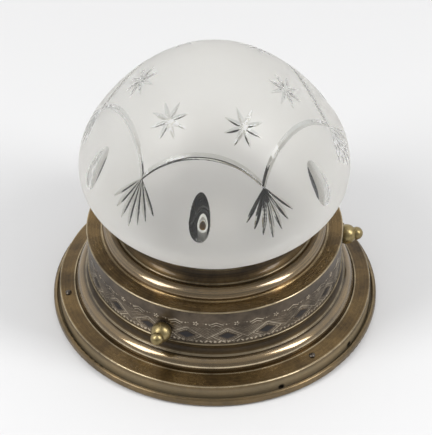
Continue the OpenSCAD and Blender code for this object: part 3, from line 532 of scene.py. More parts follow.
# %% Depth of leaves and rays
NO_CUT = -9.0
MITRE_HALF = 66.0
LEAVES = (
    (-11.3, 27.5), (-8.0, 18.8), (-4.3, 12.5), (0.0, 6.4), (4.3, 12.5), (8.0, 18.8), (11.3, 27.5),
)
LEAF_DEPTH, LEAF_START, LEAF_WIDEST = 0.76, 0.10, 0.64
OUTER_LEAF_TURN, OUTER_LEAF_SHARE = 10, 0.85
RAY_HALF, RAY_DEPTH, RAY_LENGTH, RAYS = 67.0, 0.76, 15.8, 8
RAY_START, RAY_WIDEST = 0.20, 0.36


def swelling(s, start, widest):
    """A cut's depth along its length: start at 0, 1 at widest, and a point at 1."""
    rise = start + (1 - start) * np.sin(np.clip(s / widest, 0, 1) * math.pi / 2)
    fall = np.cos(np.clip((s - widest) / (1 - widest), 0, 1) * math.pi / 2)
    return np.where((s > 0) & (s < 1), rise * fall, NO_CUT)


def valley(points, a, b, out, depth, half, start, widest):
    """A mitre valley that follows the dome from a to b."""
    length = np.linalg.norm(b - a)
    along = (b - a) / length
    side = level(np.cross(out, along))
    rel = points - a
    flank = np.abs(rel @ side) / math.tan(math.radians(half))
    return depth * swelling(rel @ along / length, start, widest) - flank


def fan(points, turn, e):
    """Seven leaves that spread down from a knot."""
    deepest = np.full(len(points), NO_CUT)
    for leaf_turn, tip_e in LEAVES:
        a, b = at(turn, e), at(turn + leaf_turn, tip_e)
        out = outwards(turn, e) + outwards(turn + leaf_turn, tip_e)
        outer = abs(leaf_turn) > OUTER_LEAF_TURN
        depth = LEAF_DEPTH * (OUTER_LEAF_SHARE if outer else 1.0)
        leaf = valley(points, a, b, out, depth, MITRE_HALF, LEAF_START, LEAF_WIDEST)
        deepest = np.maximum(deepest, leaf)
    return deepest


def star(points, turn, e):
    """Eight rays, each its own short valley."""
    deepest = np.full(len(points), NO_CUT)
    middle = at(turn, e)
    out = outwards(turn, e)
    sideways = level(np.cross([0.0, 0.0, 1.0], out))
    upwards = np.cross(out, sideways)
    for k in range(RAYS):
        a = 2 * math.pi * k / RAYS
        tip = middle + RAY_LENGTH * (math.sin(a) * sideways + math.cos(a) * upwards)
        ray = valley(points, middle, tip, out, RAY_DEPTH, RAY_HALF, RAY_START, RAY_WIDEST)
        deepest = np.maximum(deepest, ray)
    return deepest


print("leaves in a fan:", len(LEAVES), "- rays in a star:", RAYS)

# %% [markdown]
# ## Olives and swags: the broad stone and the long cut
# A broad stone with a round edge leaves an olive, a trough where it dips into the dome.
# The swag from knot to knot is one long bow, with a wide upper side and a steeper lower
# one, as a stone held at a lean would leave. It lies in a plane through its two ends and
# its peak.

# %% Depth of olives and swags
OLIVE_W, OLIVE_DEPTH = 15.6, 2.0
SWAG_DEPTH, SWAG_UPPER_HALF, SWAG_LOWER_HALF = 1.12, 71.0, 58.0
SWAG_END_SHARE, SWAG_EASE = 0.5, 0.7


def olive(points, turn, e):
    """The trough of a broad round-edged stone, laid up and down the dome."""
    half = OLIVE_W / 2
    edge_r = 1 / (2 * OLIVE_DEPTH / half ** 2 - 1 / GLASS_R)
    out = outwards(turn, e)
    sideways = level(np.cross([0.0, 0.0, 1.0], out))
    rel = points - at(turn, e) - (edge_r - OLIVE_DEPTH) * out
    v, w = rel @ sideways, rel @ out
    trough = w + np.sqrt(np.maximum(edge_r ** 2 - v ** 2, 0))
    return np.where(np.abs(v) < edge_r, trough, NO_CUT)


def circle_through(a, b, peak):
    """Centre, and direction of the axis, of the circle through three places."""
    across, rise = b - a, peak - a
    axis = np.cross(across, rise)
    lean = (np.dot(across, across) * np.cross(rise, axis)
            - np.dot(rise, rise) * np.cross(across, axis))
    return a + lean / (2 * np.dot(axis, axis)), level(axis)


def swag(points, normals, first, last, peak_e):
    """A bow from knot to knot over a peak, with a wide upper and a steeper lower side."""
    a, b = at(*first), at(*last)
    peak = at((first[0] + last[0]) / 2, peak_e)
    centre, axis = circle_through(a, b, peak)
    radius = np.linalg.norm(a - centre)
    rel = points - centre
    flat = rel - (rel @ axis)[:, None] * axis
    radial = flat / np.maximum(np.linalg.norm(flat, axis=1), 1e-6)[:, None]
    middle = level(peak - centre)
    sweep = math.acos(np.clip(level(a - centre) @ middle, -1, 1))
    turn = np.arccos(np.clip(radial @ middle, -1, 1)) / sweep
    side = np.cross(np.cross(axis, radial), normals)
    side = side * np.sign(np.einsum("ij,ij->i", side, radial))[:, None]
    v = np.einsum("ij,ij->i", rel - radius * radial, side)
    swell = np.cos(np.clip(turn, 0, 1) * math.pi / 2) ** SWAG_EASE
    depth = SWAG_DEPTH * (SWAG_END_SHARE + (1 - SWAG_END_SHARE) * swell)
    flank = np.where(v > 0, v / math.tan(math.radians(SWAG_UPPER_HALF)),
                     -v / math.tan(math.radians(SWAG_LOWER_HALF)))
    return np.where(turn < 1.0, depth - flank, NO_CUT)


print("the olives are", OLIVE_W, "mm wide and", OLIVE_DEPTH, "mm deep")

# %% [markdown]
# ## All cuts together
# Where two cuts cross, the deeper one wins, as it does on the stone. To save time, each
# cut is only worked out for the part of the dome that it can reach, in degrees of turn.

# %% Deepest of all cuts
FAN_REACH, STAR_REACH, OLIVE_REACH, SWAG_REACH = 16, 24, 12, 34


def cut_depth(points, normals):
    """Deepest of all cuts at each place of the uncut dome, in millimetres."""
    turns = np.degrees(np.arctan2(points[:, 1], points[:, 0])) - FRONT
    deepest = np.zeros(len(points))

    def cut(turn, reach, kind, *about):
        near = np.abs((turns - turn + 180) % 360 - 180) < reach
        if near.any():
            found = kind(points[near], *(normals[near],) * (kind is swag), *about)
            deepest[near] = np.maximum(deepest[near], found)

    followers = [*KNOTS[1:], (KNOTS[0][0] + 360, KNOTS[0][1])]
    for k, knot in enumerate(KNOTS):
        after = followers[k]
        cut(knot[0], FAN_REACH, fan, *knot)
        cut(STARS[k][0], STAR_REACH, star, *STARS[k])
        cut(OLIVES[k][0], OLIVE_REACH, olive, *OLIVES[k])
        cut((knot[0] + after[0]) / 2, SWAG_REACH, swag, knot, after, PEAKS_E[k])
    return deepest


swag_top = ((KNOTS[1][0] + KNOTS[2][0]) / 2, PEAKS_E[1])
probe = [OLIVES[1], (KNOTS[2][0], 12.0), (STARS[1][0] + 5, STARS[1][1]), swag_top]
probe_points = np.array([at(*p) for p in probe])
probe_depths = cut_depth(probe_points, np.array([outwards(*p) for p in probe]))
print("depth in an olive, a leaf, a ray and a swag:", np.round(probe_depths, 2), "mm")

# %% [markdown]
# ## The rings of the glass
# The mesh is a stack of rings. Where the cuts are, the rings lie about half a millimetre
# apart and have over a thousand points, and elsewhere a ring has a quarter or an eighth
# as many. The rings go down the outside, round the lip of the neck and up the inside, so
# the glass is one closed wall, four millimetres thick.

# %% List the rings
GLASS_WALL = 4.0
NECK_R, NECK_LIP_R, NECK_Z, NECK_LIP_H = 63.2, 66.8, 40.6, 4.0
NECK_TOP_OUT, NECK_TOP_IN, NECK_RINGS = 84.0, 86.0, 10
LIP_EASE = 0.6
FINE = 1152
PLAIN, COARSE = FINE // 4, FINE // 8
CUT_STEP, PLAIN_STEP, INSIDE_STEP = 0.55, 3.0, 2.0
TOP_E, COARSE_E, PLAIN_E = 88.0, 76.0, 74.0
CUTS_FROM_E, CUTS_TO_E = 64.0, 2.0


def arc_points(centre, radius, e_from, e_to, step):
    """Points along an arc with the steepness of each, about step millimetres apart."""
    count = max(1, round(abs(math.radians(e_to - e_from)) * radius / step))
    es = np.linspace(e_from, e_to, count + 1)
    return [(centre[0] + radius * math.cos(a), centre[1] + radius * math.sin(a), e)
            for a, e in zip(np.radians(es), es)]


def neck_meets(radius, under_r):
    """Steepness at which the underside has drawn in to a radius."""
    return -math.degrees(math.acos((radius - under_c[0]) / under_r))


def outside_rings(put):
    split = CAP_FROM + CREASE
    put(arc_points(crown_c, crown_r, TOP_E, COARSE_E, PLAIN_STEP), COARSE, "outside")
    put(arc_points(crown_c, crown_r, PLAIN_E, CUTS_FROM_E + 2, PLAIN_STEP / 2), PLAIN, "outside")
    put(arc_points(crown_c, crown_r, CUTS_FROM_E, split, CUT_STEP), FINE, "cut")
    shoulder = arc_points(shoulder_c, SHOULDER_R, CAP_FROM, BELLY_SWEEP + CREASE, CUT_STEP)
    put(shoulder[1:], FINE, "cut")
    put(arc_points(belly_c, BELLY_R, BELLY_SWEEP, CUTS_TO_E, CUT_STEP)[1:], FINE, "cut")
    put(arc_points(belly_c, BELLY_R, 0.5, 0.0, 1.0), PLAIN, "outside")
    put(arc_points(haunch_c, HAUNCH_R, -3.0, -HAUNCH_SWEEP, 1.6), PLAIN, "outside")
    low = neck_meets(NECK_R, UNDER_R)
    under = arc_points(under_c, UNDER_R, -HAUNCH_SWEEP - CREASE, low, PLAIN_STEP)
    put(under[1:], PLAIN, "outside")


def neck_rings(put):
    lip_top, inner = NECK_Z + NECK_LIP_H, NECK_R - GLASS_WALL
    neck = [(NECK_R, z, 0.0) for z in np.linspace(NECK_TOP_OUT, lip_top + 1.0, NECK_RINGS)]
    lip = [(NECK_R + 0.3, lip_top, 0.0), (NECK_LIP_R - LIP_EASE, lip_top, 0.0),
           (NECK_LIP_R, lip_top - LIP_EASE, 0.0), (NECK_LIP_R, NECK_Z + LIP_EASE, 0.0),
           (NECK_LIP_R - LIP_EASE, NECK_Z, 0.0), (inner + LIP_EASE, NECK_Z, 0.0),
           (inner, NECK_Z + LIP_EASE, 0.0)]
    put(neck + lip, PLAIN, "inside")
    put([(inner, z, 0.0) for z in np.linspace(NECK_Z + 4, NECK_TOP_IN, NECK_RINGS)],
        PLAIN, "inside")


def inside_rings(put):
    w = GLASS_WALL
    low = neck_meets(NECK_R - w, UNDER_R - w)
    put(arc_points(under_c, UNDER_R - w, low, -HAUNCH_SWEEP - CREASE, PLAIN_STEP), PLAIN, "inside")
    put(arc_points(haunch_c, HAUNCH_R - w, -HAUNCH_SWEEP, 0, INSIDE_STEP)[1:], PLAIN, "inside")
    put(arc_points(belly_c, BELLY_R - w, 0, BELLY_SWEEP, INSIDE_STEP)[1:], PLAIN, "inside")
    shoulder = arc_points(shoulder_c, SHOULDER_R - w, BELLY_SWEEP + CREASE, CAP_FROM, PLAIN_STEP)
    put(shoulder[1:], PLAIN, "inside")
    crown = arc_points(crown_c, crown_r - w, CAP_FROM + CREASE, PLAIN_E, PLAIN_STEP)
    put(crown[1:], PLAIN, "inside")
    put(arc_points(crown_c, crown_r - w, COARSE_E, TOP_E, PLAIN_STEP), COARSE, "inside")


def glass_rings():
    """Rings of the glass from the top, down the outside and up the inside."""
    rings = []

    def put(points, count, skin):
        rings.extend((r, z, e, count, skin) for r, z, e in points)

    outside_rings(put)
    neck_rings(put)
    inside_rings(put)
    return rings


print("rings of the glass:", len(glass_rings()))

# %% [markdown]
# ## Joining the rings
# Two rings with the same number of points are joined by four-cornered faces. Where a
# fine ring meets a coarse one, each point of the coarse ring takes a fan of triangles,
# and no point is left hanging on an edge, which would tear the glass open.

# %% Faces between two rings
def ring_faces(first_a, count_a, first_b, count_b):
    """Faces between two rings, one of which may have a whole multiple of the other's points."""
    faces = []
    if count_a == count_b:
        for j in range(count_a):
            k = (j + 1) % count_a
            faces.append((first_a + j, first_b + j, first_b + k, first_a + k))
        return faces
    flip = count_a < count_b
    fine, few = (count_b, count_a) if flip else (count_a, count_b)
    first_fine, first_few = (first_b, first_a) if flip else (first_a, first_b)
    many = fine // few
    half = many // 2
    for j in range(few):
        k = (j + 1) % few
        base = [first_fine + (j * many + i) % fine for i in range(many + 1)]
        for i in range(many):
            corner = first_few + (j if i < half else k)
            face = (base[i], corner, base[i + 1])
            faces.append(face[::-1] if flip else face)
        face = (base[half], first_few + j, first_few + k)
        faces.append(face[::-1] if flip else face)
    return faces


print("faces between rings of 4 and 8 points:", len(ring_faces(0, 4, 4, 8)))

# %% [markdown]
# ## The cut dome as a mesh
# Every point of the fine rings is pushed in by the depth of the cuts there, square to
# the dome. It also keeps how deep it was cut, which tells the material where the frosted
# skin is gone. The faces of the neck and the inside get a second, clear material.

# %% Build the dome
def glass_points(rings):
    """All points of the rings after the cutting, and how deep each was cut."""
    points, steep = [], []
    for r, z, e, count, skin in rings:
        a = np.arange(count) * 2 * math.pi / count
        points.append(np.stack([r * np.cos(a), r * np.sin(a), np.full(count, z)], axis=1))
        steep.append(np.full(count, e if skin == "cut" else np.nan))
    points, steep = np.concatenate(points), np.concatenate(steep)
    depth = np.zeros(len(points))
    where = ~np.isnan(steep)
    a = np.arctan2(points[:, 1], points[:, 0])
    rad = np.radians(np.nan_to_num(steep))
    out = np.stack([np.cos(rad) * np.cos(a), np.cos(rad) * np.sin(a), np.sin(rad)], axis=1)
    depth[where] = cut_depth(points[where], out[where])
    return points - out * depth[:, None], depth


def glass_faces(rings):
    """Faces between all rings, a cap at each end, and 1 for each face of the inside."""
    counts = [count for _, _, _, count, _ in rings]
    firsts = np.concatenate([[0], np.cumsum(counts)]).tolist()
    inner_from = [skin for _, _, _, _, skin in rings].index("inside")
    faces, skins = [], []
    for n in range(len(rings) - 1):
        new = ring_faces(firsts[n], counts[n], firsts[n + 1], counts[n + 1])
        faces += new
        skins += [1 if n + 1 >= inner_from else 0] * len(new)
    top, bottom = firsts[-1], firsts[-1] + 1
    count = counts[0]
    faces += [(top, j, (j + 1) % count) for j in range(count)]
    skins += [0] * count
    count, first = counts[-1], firsts[-2]
    faces += [(bottom, first + (j + 1) % count, first + j) for j in range(count)]
    skins += [1] * count
    return faces, skins


def build_glass():
    rings = glass_rings()
    points, depth = glass_points(rings)
    faces, skins = glass_faces(rings)
    top_z = crown_c[1] + crown_r
    points = np.concatenate([points, [[0, 0, top_z], [0, 0, top_z - GLASS_WALL]]])
    depth = np.concatenate([depth, [0, 0]])
    mesh = bpy.data.meshes.new("cut_glass_dome")
    mesh.from_pydata((points / 1000).tolist(), [], faces)
    mesh.update()
    mesh.polygons.foreach_set("use_smooth", [True] * len(mesh.polygons))
    mesh.polygons.foreach_set("material_index", skins)
    layer = mesh.attributes.new("cut", "FLOAT", "POINT")
    layer.data.foreach_set("value", depth.astype(np.float32))
    mesh.update()
    return mesh


glass_mesh = build_glass()
print("glass:", len(glass_mesh.vertices), "points,", len(glass_mesh.polygons), "faces")

# %% [markdown]
# ## Frosted and polished glass
# The blown dome was etched outside, and the cuts went through that skin and were
# polished clear. So one shader has two states, told apart by the depth of cut: rough and
# milky outside, clear and smooth in the cuts and on the inside. The milky part lets
# light through in all directions, which hides the lampholder everywhere but behind the
# cuts. It is made denser low down, where the glass turns under: painted light that makes
# the lower rim almost white, as the table's light does.

# %% The two skins of the glass
CUT_THROUGH = (0.01, 0.05)
FROST_ROUGH, CUT_ROUGH = 0.50, 0.02
MILK_TONES = ((0.3, (0.88, 0.858, 0.815)), (0.7, (0.93, 0.913, 0.88)))
CHALK_SHARE = 0.70
# Heights over which the milk thins upwards. The extra milk low down is painted light.
MILK_LIGHT_FROM, MILK_LIGHT_TO = 0.098, 0.130
MILK_LOW, MILK_HIGH = 0.95, 0.40


def glass_skin(name, frosted):
    """Clear glass, or glass whose outer skin is milky where it isn't cut."""
    mat, shader, tree = finish(
        name, Base_Color=(0.96, 0.965, 0.95, 1.0), Roughness=0.04, IOR=1.52,
        Transmission_Weight=1.0,
    )
    if not frosted:
        return mat
    depth = add(tree, "Attribute", {"attribute_name": "cut"}).outputs["Fac"]
    clear = fit(tree, depth, *CUT_THROUGH)
    rough = fit(tree, clear, 0.0, 1.0, FROST_ROUGH, CUT_ROUGH)
    tree.links.new(rough, shader.inputs["Roughness"])
    place = add(tree, "TexCoord").outputs["Object"]
    milk_colour = ramp(tree, noise(tree, place, 22.0, 4.0, Roughness=0.55), MILK_TONES)
    milk = add(tree, "BsdfTranslucent", i0=milk_colour).outputs[0]
    chalk = add(tree, "BsdfDiffuse", i0=milk_colour).outputs[0]
    skin = add(tree, "MixShader", i0=CHALK_SHARE, i1=milk, i2=chalk).outputs[0]
    height = add(tree, "SeparateXYZ", i0=place).outputs["Z"]
    # More milk low down: painted light on the lower rim.
    milk_with_painted_light = fit(tree, height, MILK_LIGHT_FROM, MILK_LIGHT_TO, MILK_LOW, MILK_HIGH)
    share = times(tree, math_node(tree, "SUBTRACT", 1.0, clear), milk_with_painted_light)
    whole = add(tree, "MixShader", i0=share, i1=shader.outputs[0], i2=skin).outputs[0]
    tree.links.new(whole, tree.nodes["Material Output"].inputs["Surface"])
    return mat


dome_glass = bpy.data.objects.new("cut_glass_dome", glass_mesh)
bpy.context.scene.collection.objects.link(dome_glass)
glass_mesh.materials.append(glass_skin("frosted_glass", True))
glass_mesh.materials.append(glass_skin("clear_glass", False))
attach(dome_glass, "base")
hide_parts("glass_shade")
print("skins of the glass:", [m.name for m in glass_mesh.materials])

# %% [markdown]
# ## The embossed frieze
# Such a band was usually rolled from thin sheet between steel rollers, so the same few
# marks come round again and again: twenty lozenges with dark hollow hearts in a
# hatched field, a row of small flowers and chevrons above, and a row of leaves below.
# The relief is less than half a millimetre high, but its rubbed tops catch the light.
# The pattern is a height worked out from the place on the band, so it needs no drawing.

# %% Measures along the band
FRIEZE_BACK, FRIEZE_GROUND, FRIEZE_RELIEF = 96.45, 96.70, 0.45
FRIEZE_LOW, FRIEZE_HIGH = 37.95, 68.95
LOZENGES, LOZENGE_TURN, LOZENGE_Z = 20, 5.4, 46.0


def ridge(away, width):
    """1 where away is 0, falling to 0 at width on either side."""
    return np.clip(1 - np.abs(away) / width, 0, 1)


def along_band(turn, first, count):
    """Distance in mm along the band from the nearest of count equal places, and its number."""
    pitch = 360 / count
    number = np.round((turn - first) / pitch)
    return (turn - first - number * pitch) * math.pi / 180 * FRIEZE_GROUND, number


print("from lozenge to lozenge:", round(2 * math.pi * FRIEZE_GROUND / LOZENGES, 1), "mm")

# %% [markdown]
# ## The lozenges
# A lozenge is where the distance along the band and the height, each divided by its own
# half width, add up to less than 1. Its frame is the ridge where they add up to just 1,
# a second frame stands inside it, and rays run from that to the hollow heart.

# %% Height of the lozenges
LOZENGE_W, LOZENGE_H = 11.5, 7.4
HEART_W, HEART_H, HEART_EDGE = 7.0, 3.7, 4
FIELD_LOW, FIELD_HIGH = -6.2, 8.2
FRAME_WIDTH, ARM_WIDTH, ARM_HEIGHT = 0.11, 0.10, 0.9
INNER_FRAME, INNER_WIDTH, INNER_HEIGHT = 0.78, 0.08, 0.8
HATCH_FROM, HATCH_LEAN, HATCH_PITCH, HATCH_HEIGHT = 1.08, 0.62, 1.7, 0.62
RAYS_FROM, RAYS_TO, RAYS_PITCH, RAYS_HEIGHT = 0.55, 0.76, 0.30, 0.60


def lozenge_field(turn, z):
    """Height of the lozenges and their hatching, and darkness of the hearts."""
    x, _ = along_band(turn, LOZENGE_TURN, LOZENGES)
    u, v = np.abs(x), z - LOZENGE_Z
    wide = u / LOZENGE_W + np.abs(v) / LOZENGE_H
    arms = u / LOZENGE_W + v / LOZENGE_H
    inside = (v > FIELD_LOW) & (v < FIELD_HIGH)
    height = np.maximum(ridge(wide - 1.0, FRAME_WIDTH), ARM_HEIGHT * ridge(arms - 1.0, ARM_WIDTH))
    height = height * inside
    height = np.maximum(height, INNER_HEIGHT * ridge(wide - INNER_FRAME, INNER_WIDTH))
    hatch = 0.5 + 0.5 * np.cos(2 * math.pi * (v + HATCH_LEAN * u) / HATCH_PITCH)
    height = np.maximum(height, HATCH_HEIGHT * hatch * (wide > HATCH_FROM) * inside)
    rays = 0.5 + 0.5 * np.cos(2 * math.pi * np.arctan2(v, u) / RAYS_PITCH)
    height = np.maximum(height, RAYS_HEIGHT * rays * (wide > RAYS_FROM) * (wide < RAYS_TO))
    heart = np.clip((1 - u / HEART_W - np.abs(v) / HEART_H) * HEART_EDGE, 0, 1)
    return height * (1 - heart), heart


print("darkness of a heart's middle:", lozenge_field(LOZENGE_TURN, LOZENGE_Z)[1])

# %% [markdown]
# ## Flowers, chevrons and leaves
# Above the lozenges a five-petalled flower and a double chevron take turns, with a dot
# between two short dashes in each gap. Below runs a row of small leaves that lean left
# and right in turn, and a fine ridge closes the band at its foot.

# %% Height of the two rows
FLOWER_TURN, FLOWER_Z, FLOWER_HALF = 0.5, 58.0, 2.6
CHEVRON_W, CHEVRON_H = 5.6, 2.6
PETALS, PETAL_SWING, PETAL_FULL, PETAL_R, PISTIL_R = 5, 0.65, 1.7, 1.3, 0.7
BETWEEN_TURN = 4.5
DOT_R, DOT_HEIGHT = 1.1, 1.4
DASH_AWAY, DASH_HALF, DASH_LIFT, DASH_WIDTH, DASH_HEIGHT = 2.0, 0.8, 0.4, 0.5, 0.8
LEAF_Z, LEAF_PITCH, LEAF_LEAN = 40.3, 3.4, 0.5
LEAF_FULL, LEAF_HALF_W, LEAF_HALF_H, LEAF_HEIGHT = 1.25, 1.25, 1.55, 0.85
FOOT_LIFT, FOOT_WIDTH, FOOT_HEIGHT = 0.3, 0.5, 0.55


def flower_row(turn, z):
    x, number = along_band(turn, FLOWER_TURN, 2 * LOZENGES)
    w = z - FLOWER_Z
    peak = np.abs(x) / CHEVRON_W + w / CHEVRON_H
    chevron = (ridge(peak - 0.60, 0.38) + ridge(peak + 0.30, 0.30)) * (np.abs(x) < CHEVRON_W)
    far = np.hypot(x, w)
    swing = PETAL_FULL + PETAL_SWING * np.cos(PETALS * np.arctan2(w, x))
    petals = np.clip(swing - far / PETAL_R, 0, 1) * (far > PISTIL_R)
    flower = np.where(number % 2 == 0, chevron, petals) * (np.abs(w) < FLOWER_HALF)
    x, _ = along_band(turn, FLOWER_TURN + BETWEEN_TURN, 2 * LOZENGES)
    dot = ridge(np.hypot(x, w), DOT_R) * DOT_HEIGHT
    dash = ridge(w - DASH_LIFT, DASH_WIDTH) * (np.abs(np.abs(x) - DASH_AWAY) < DASH_HALF)
    return np.maximum.reduce([np.clip(flower, 0, 1), np.clip(dot, 0, 1), DASH_HEIGHT * dash])


def leaf_row(turn, z):
    leaves = round(2 * math.pi * FRIEZE_GROUND / LEAF_PITCH)
    x, number = along_band(turn, 0.0, leaves)
    w = z - LEAF_Z
    lean = x + w * np.where(number % 2 == 0, LEAF_LEAN, -LEAF_LEAN)
    leaf = np.clip(LEAF_FULL - (lean / LEAF_HALF_W) ** 2 - (w / LEAF_HALF_H) ** 2, 0, 1)
    foot = FOOT_HEIGHT * ridge(z - FRIEZE_LOW - FOOT_LIFT, FOOT_WIDTH)
    return np.maximum(LEAF_HEIGHT * leaf, foot)


def frieze_pattern(turn, z):
    """Height of the relief and darkness of the lozenges' hearts, both from 0 to 1."""
    height, heart = lozenge_field(turn, z)
    return np.maximum.reduce([height, flower_row(turn, z), leaf_row(turn, z)]), heart


print("height in the middle of a leaf:", leaf_row(0.0, LEAF_Z))

# %% [markdown]
# ## The frieze as a mesh
# The band is a fine net round the drum whose points are pushed out where the pattern is
# high. Above the pattern the sheet is plain, so a few wide rows are enough there. Two
# more rings at the back close the sheet, and each point keeps its height and darkness
# for the finish.

# %% Build the frieze
AROUND, FRIEZE_STEP = 1500, 0.40
PATTERN_TOP, PLAIN_ROWS = 61.5, 6
HEART_SINK = 0.1


def ring_net(pairs, count):
    """Four-cornered faces between pairs of rings, each a closed loop of count points."""
    j = np.arange(count)
    k = (j + 1) % count
    return np.concatenate([
        np.stack([a * count + j, a * count + k, b * count + k, b * count + j], axis=1)
        for a, b in pairs
    ])


def build_frieze():
    rows = [*np.arange(FRIEZE_LOW, PATTERN_TOP, FRIEZE_STEP),
            *np.linspace(PATTERN_TOP, FRIEZE_HIGH, PLAIN_ROWS)]
    turn = np.arange(AROUND) * 360 / AROUND
    a = np.radians(turn + FRONT)
    plain = np.zeros(AROUND)
    rings = []
    for z in rows:
        height, heart = frieze_pattern(turn, z)
        rings.append((FRIEZE_GROUND + FRIEZE_RELIEF * height - HEART_SINK * heart, z, height, heart))
    for z in (FRIEZE_HIGH, FRIEZE_LOW):
        rings.append((plain + FRIEZE_BACK, z, plain, plain))
    points = [np.stack([r * np.cos(a), r * np.sin(a), plain + z], axis=1) for r, z, _, _ in rings]
    last = len(rings) - 1
    faces = ring_net([(n, n + 1) for n in range(last)] + [(last, 0)], AROUND)
    mesh = bpy.data.meshes.new("embossed_frieze")
    mesh.from_pydata((np.concatenate(points) / 1000).tolist(), [], faces.tolist())
    for name, column in (("relief", 2), ("heart", 3)):
        values = np.concatenate([ring[column] for ring in rings])
        layer = mesh.attributes.new(name, "FLOAT", "POINT")
        layer.data.foreach_set("value", values.astype(np.float32))
    mesh.polygons.foreach_set("use_smooth", [True] * len(mesh.polygons))
    mesh.update()
    return mesh


frieze_mesh = build_frieze()
print("frieze:", len(frieze_mesh.vertices), "points")

# %% [markdown]
# ## The finish of the frieze
# The band has a dark patina like the base's, but greyer. Its highest points are rubbed
# pale in patches, and the hollow hearts are almost black.

# %% Brass of the frieze
PATINA_TONES = ((0.32, (0.052, 0.040, 0.029)), (0.68, (0.130, 0.100, 0.070)))
RUBBED_TOPS, HEART_DARK = (0.66, 0.58, 0.45), (0.022, 0.024, 0.030)
CLOUD_PART, GRAIN_PART, HEART_PART = 0.6, 0.4, 0.8
GRAIN_BUMP, GRAIN_DEPTH = 0.15, 0.0002


def frieze_finish():
    mat, shader, tree = finish("frieze_brass", Metallic=0.82, Coat_Weight=0.08)
    place = add(tree, "TexCoord").outputs["Object"]
    cloud = noise(tree, place, 60.0, 6.0, Roughness=0.65)
    grain = noise(tree, place, 900.0, 3.0, Roughness=0.6)
    relief = add(tree, "Attribute", {"attribute_name": "relief"}).outputs["Fac"]
    heart = add(tree, "Attribute", {"attribute_name": "heart"}).outputs["Fac"]
    patches = plus(tree, times(tree, cloud, CLOUD_PART), times(tree, grain, GRAIN_PART))
    wear = times(tree, fit(tree, relief, 0.35, 0.90), fit(tree, patches, 0.38, 0.56, 0.10, 1.0))
    colour = over(tree, wear, ramp(tree, cloud, PATINA_TONES), RUBBED_TOPS)
    colour = over(tree, times(tree, heart, HEART_PART), colour, HEART_DARK)
    tree.links.new(colour, shader.inputs["Base Color"])
    tree.links.new(fit(tree, grain, 0.3, 0.7, 0.30, 0.42), shader.inputs["Roughness"])
    bump = add(tree, "Bump", i0=GRAIN_BUMP, i1=GRAIN_DEPTH, Height=grain)
    tree.links.new(bump.outputs[0], shader.inputs["Normal"])
    return mat


frieze_mesh.materials.append(frieze_finish())
frieze = bpy.data.objects.new("embossed_frieze", frieze_mesh)
bpy.context.scene.collection.objects.link(frieze)
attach(frieze, "base")
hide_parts("frieze_band")
print("finish of the frieze:", frieze_mesh.materials[0].name)

# %% [markdown]
# ## The table
# A wide pale table takes the lamp's soft shadow. It lies a hair below the ceiling face,
# so that the two faces don't fight for the same place.

# %% Lay the table
TABLE_HALF, TABLE_DROP = 6.0, 0.0002
TABLE_COLOUR = (0.680, 0.680, 0.684, 1.0)

corners = [(x * TABLE_HALF, y * TABLE_HALF, 0) for x, y in ((-1, -1), (1, -1), (1, 1), (-1, 1))]
table_mesh = bpy.data.meshes.new("table")
table_mesh.from_pydata(corners, [], [(0, 1, 2, 3)])
table = bpy.data.objects.new("table", table_mesh)
table.location.z = -TABLE_DROP
bpy.context.scene.collection.objects.link(table)
table_paper, _, _ = finish("table_paper", Base_Color=TABLE_COLOUR, Roughness=0.9)
table_mesh.materials.append(table_paper)
print("table:", 2 * TABLE_HALF, "m wide")

# %% [markdown]
# ## Two soft boxes
# Two tall soft boxes stand to the left and right, a little in front. Their reflections
# are the two white flashes on each rounded ring of the base. A small lamp would give hard
# edges to those flashes and to the shadow.

# %% Place the soft boxes
BOX_DISTANCE, BOX_HEIGHT, AIM_Z = 2.1, 1.35, 0.08


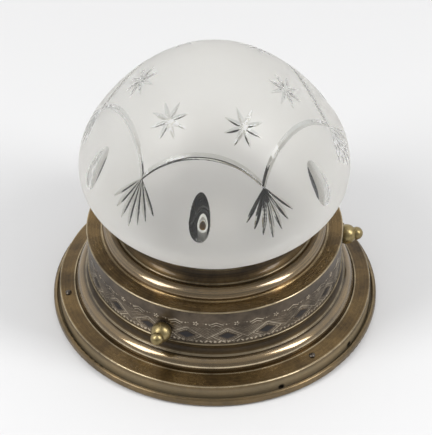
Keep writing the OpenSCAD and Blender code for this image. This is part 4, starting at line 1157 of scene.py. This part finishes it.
def soft_box(name, toward, width, power):
    """A rectangle of light that faces the lamp's middle from a direction."""
    data = bpy.data.lights.new(name, "AREA")
    data.shape = "RECTANGLE"
    data.size = width
    data.size_y = BOX_HEIGHT
    data.energy = power
    light = bpy.data.objects.new(name, data)
    toward = Vector(toward).normalized()
    light.location = toward * BOX_DISTANCE + Vector((0, 0, AIM_Z))
    light.rotation_mode = "QUATERNION"
    light.rotation_quaternion = toward.to_track_quat("Z", "Y")
    bpy.context.scene.collection.objects.link(light)
    print(name, "stands at", [round(v, 2) for v in light.location])


soft_box("left_box", (-0.62, -0.30, 0.66), 0.69, 24.0)
soft_box("right_box", (0.66, -0.25, 0.66), 0.51, 23.5)

# %% [markdown]
# ## The room's light
# A white room fills the shadows. It is dimmer in front and brighter behind. Metal shows
# that difference most, so its rays have their own two strengths. What the camera sees,
# straight or through the glass, is one even pale white.

# %% Light the room
SKY_FRONT, SKY_BACK, SKY_SEEN = 0.62, 0.78, 0.85
SHINE_FRONT, SHINE_BACK = 0.36, 0.95
FRONT_END, FILL_END, SHINE_END = -0.9, 0.5, 0.3


def studio_room():
    """A white world whose strength depends on the kind of ray and on its direction."""
    world = bpy.data.worlds.new("studio")
    world.use_nodes = True
    tree = world.node_tree
    background = tree.nodes["Background"]
    rays = add(tree, "LightPath").outputs
    seen = math_node(tree, "ADD", rays["Is Camera Ray"], rays["Is Transmission Ray"], clamp=True)
    way = add(tree, "SeparateXYZ", i0=add(tree, "TexCoord").outputs["Generated"]).outputs[1]
    fill = fit(tree, way, FRONT_END, FILL_END, SKY_FRONT, SKY_BACK)
    shine = fit(tree, way, FRONT_END, SHINE_END, SHINE_FRONT, SHINE_BACK)
    mix = {"data_type": "FLOAT"}
    light = add(tree, "Mix", mix, i0=rays["Is Glossy Ray"], i2=fill, i3=shine).outputs[0]
    strength = add(tree, "Mix", mix, i0=seen, i2=light, i3=SKY_SEEN).outputs[0]
    tree.links.new(strength, background.inputs["Strength"])
    background.inputs["Color"].default_value = (1.0, 1.0, 1.0, 1.0)
    return world


bpy.context.scene.world = studio_room()
bpy.context.scene.view_settings.view_transform = "Standard"
print("view:", bpy.context.scene.view_settings.view_transform)
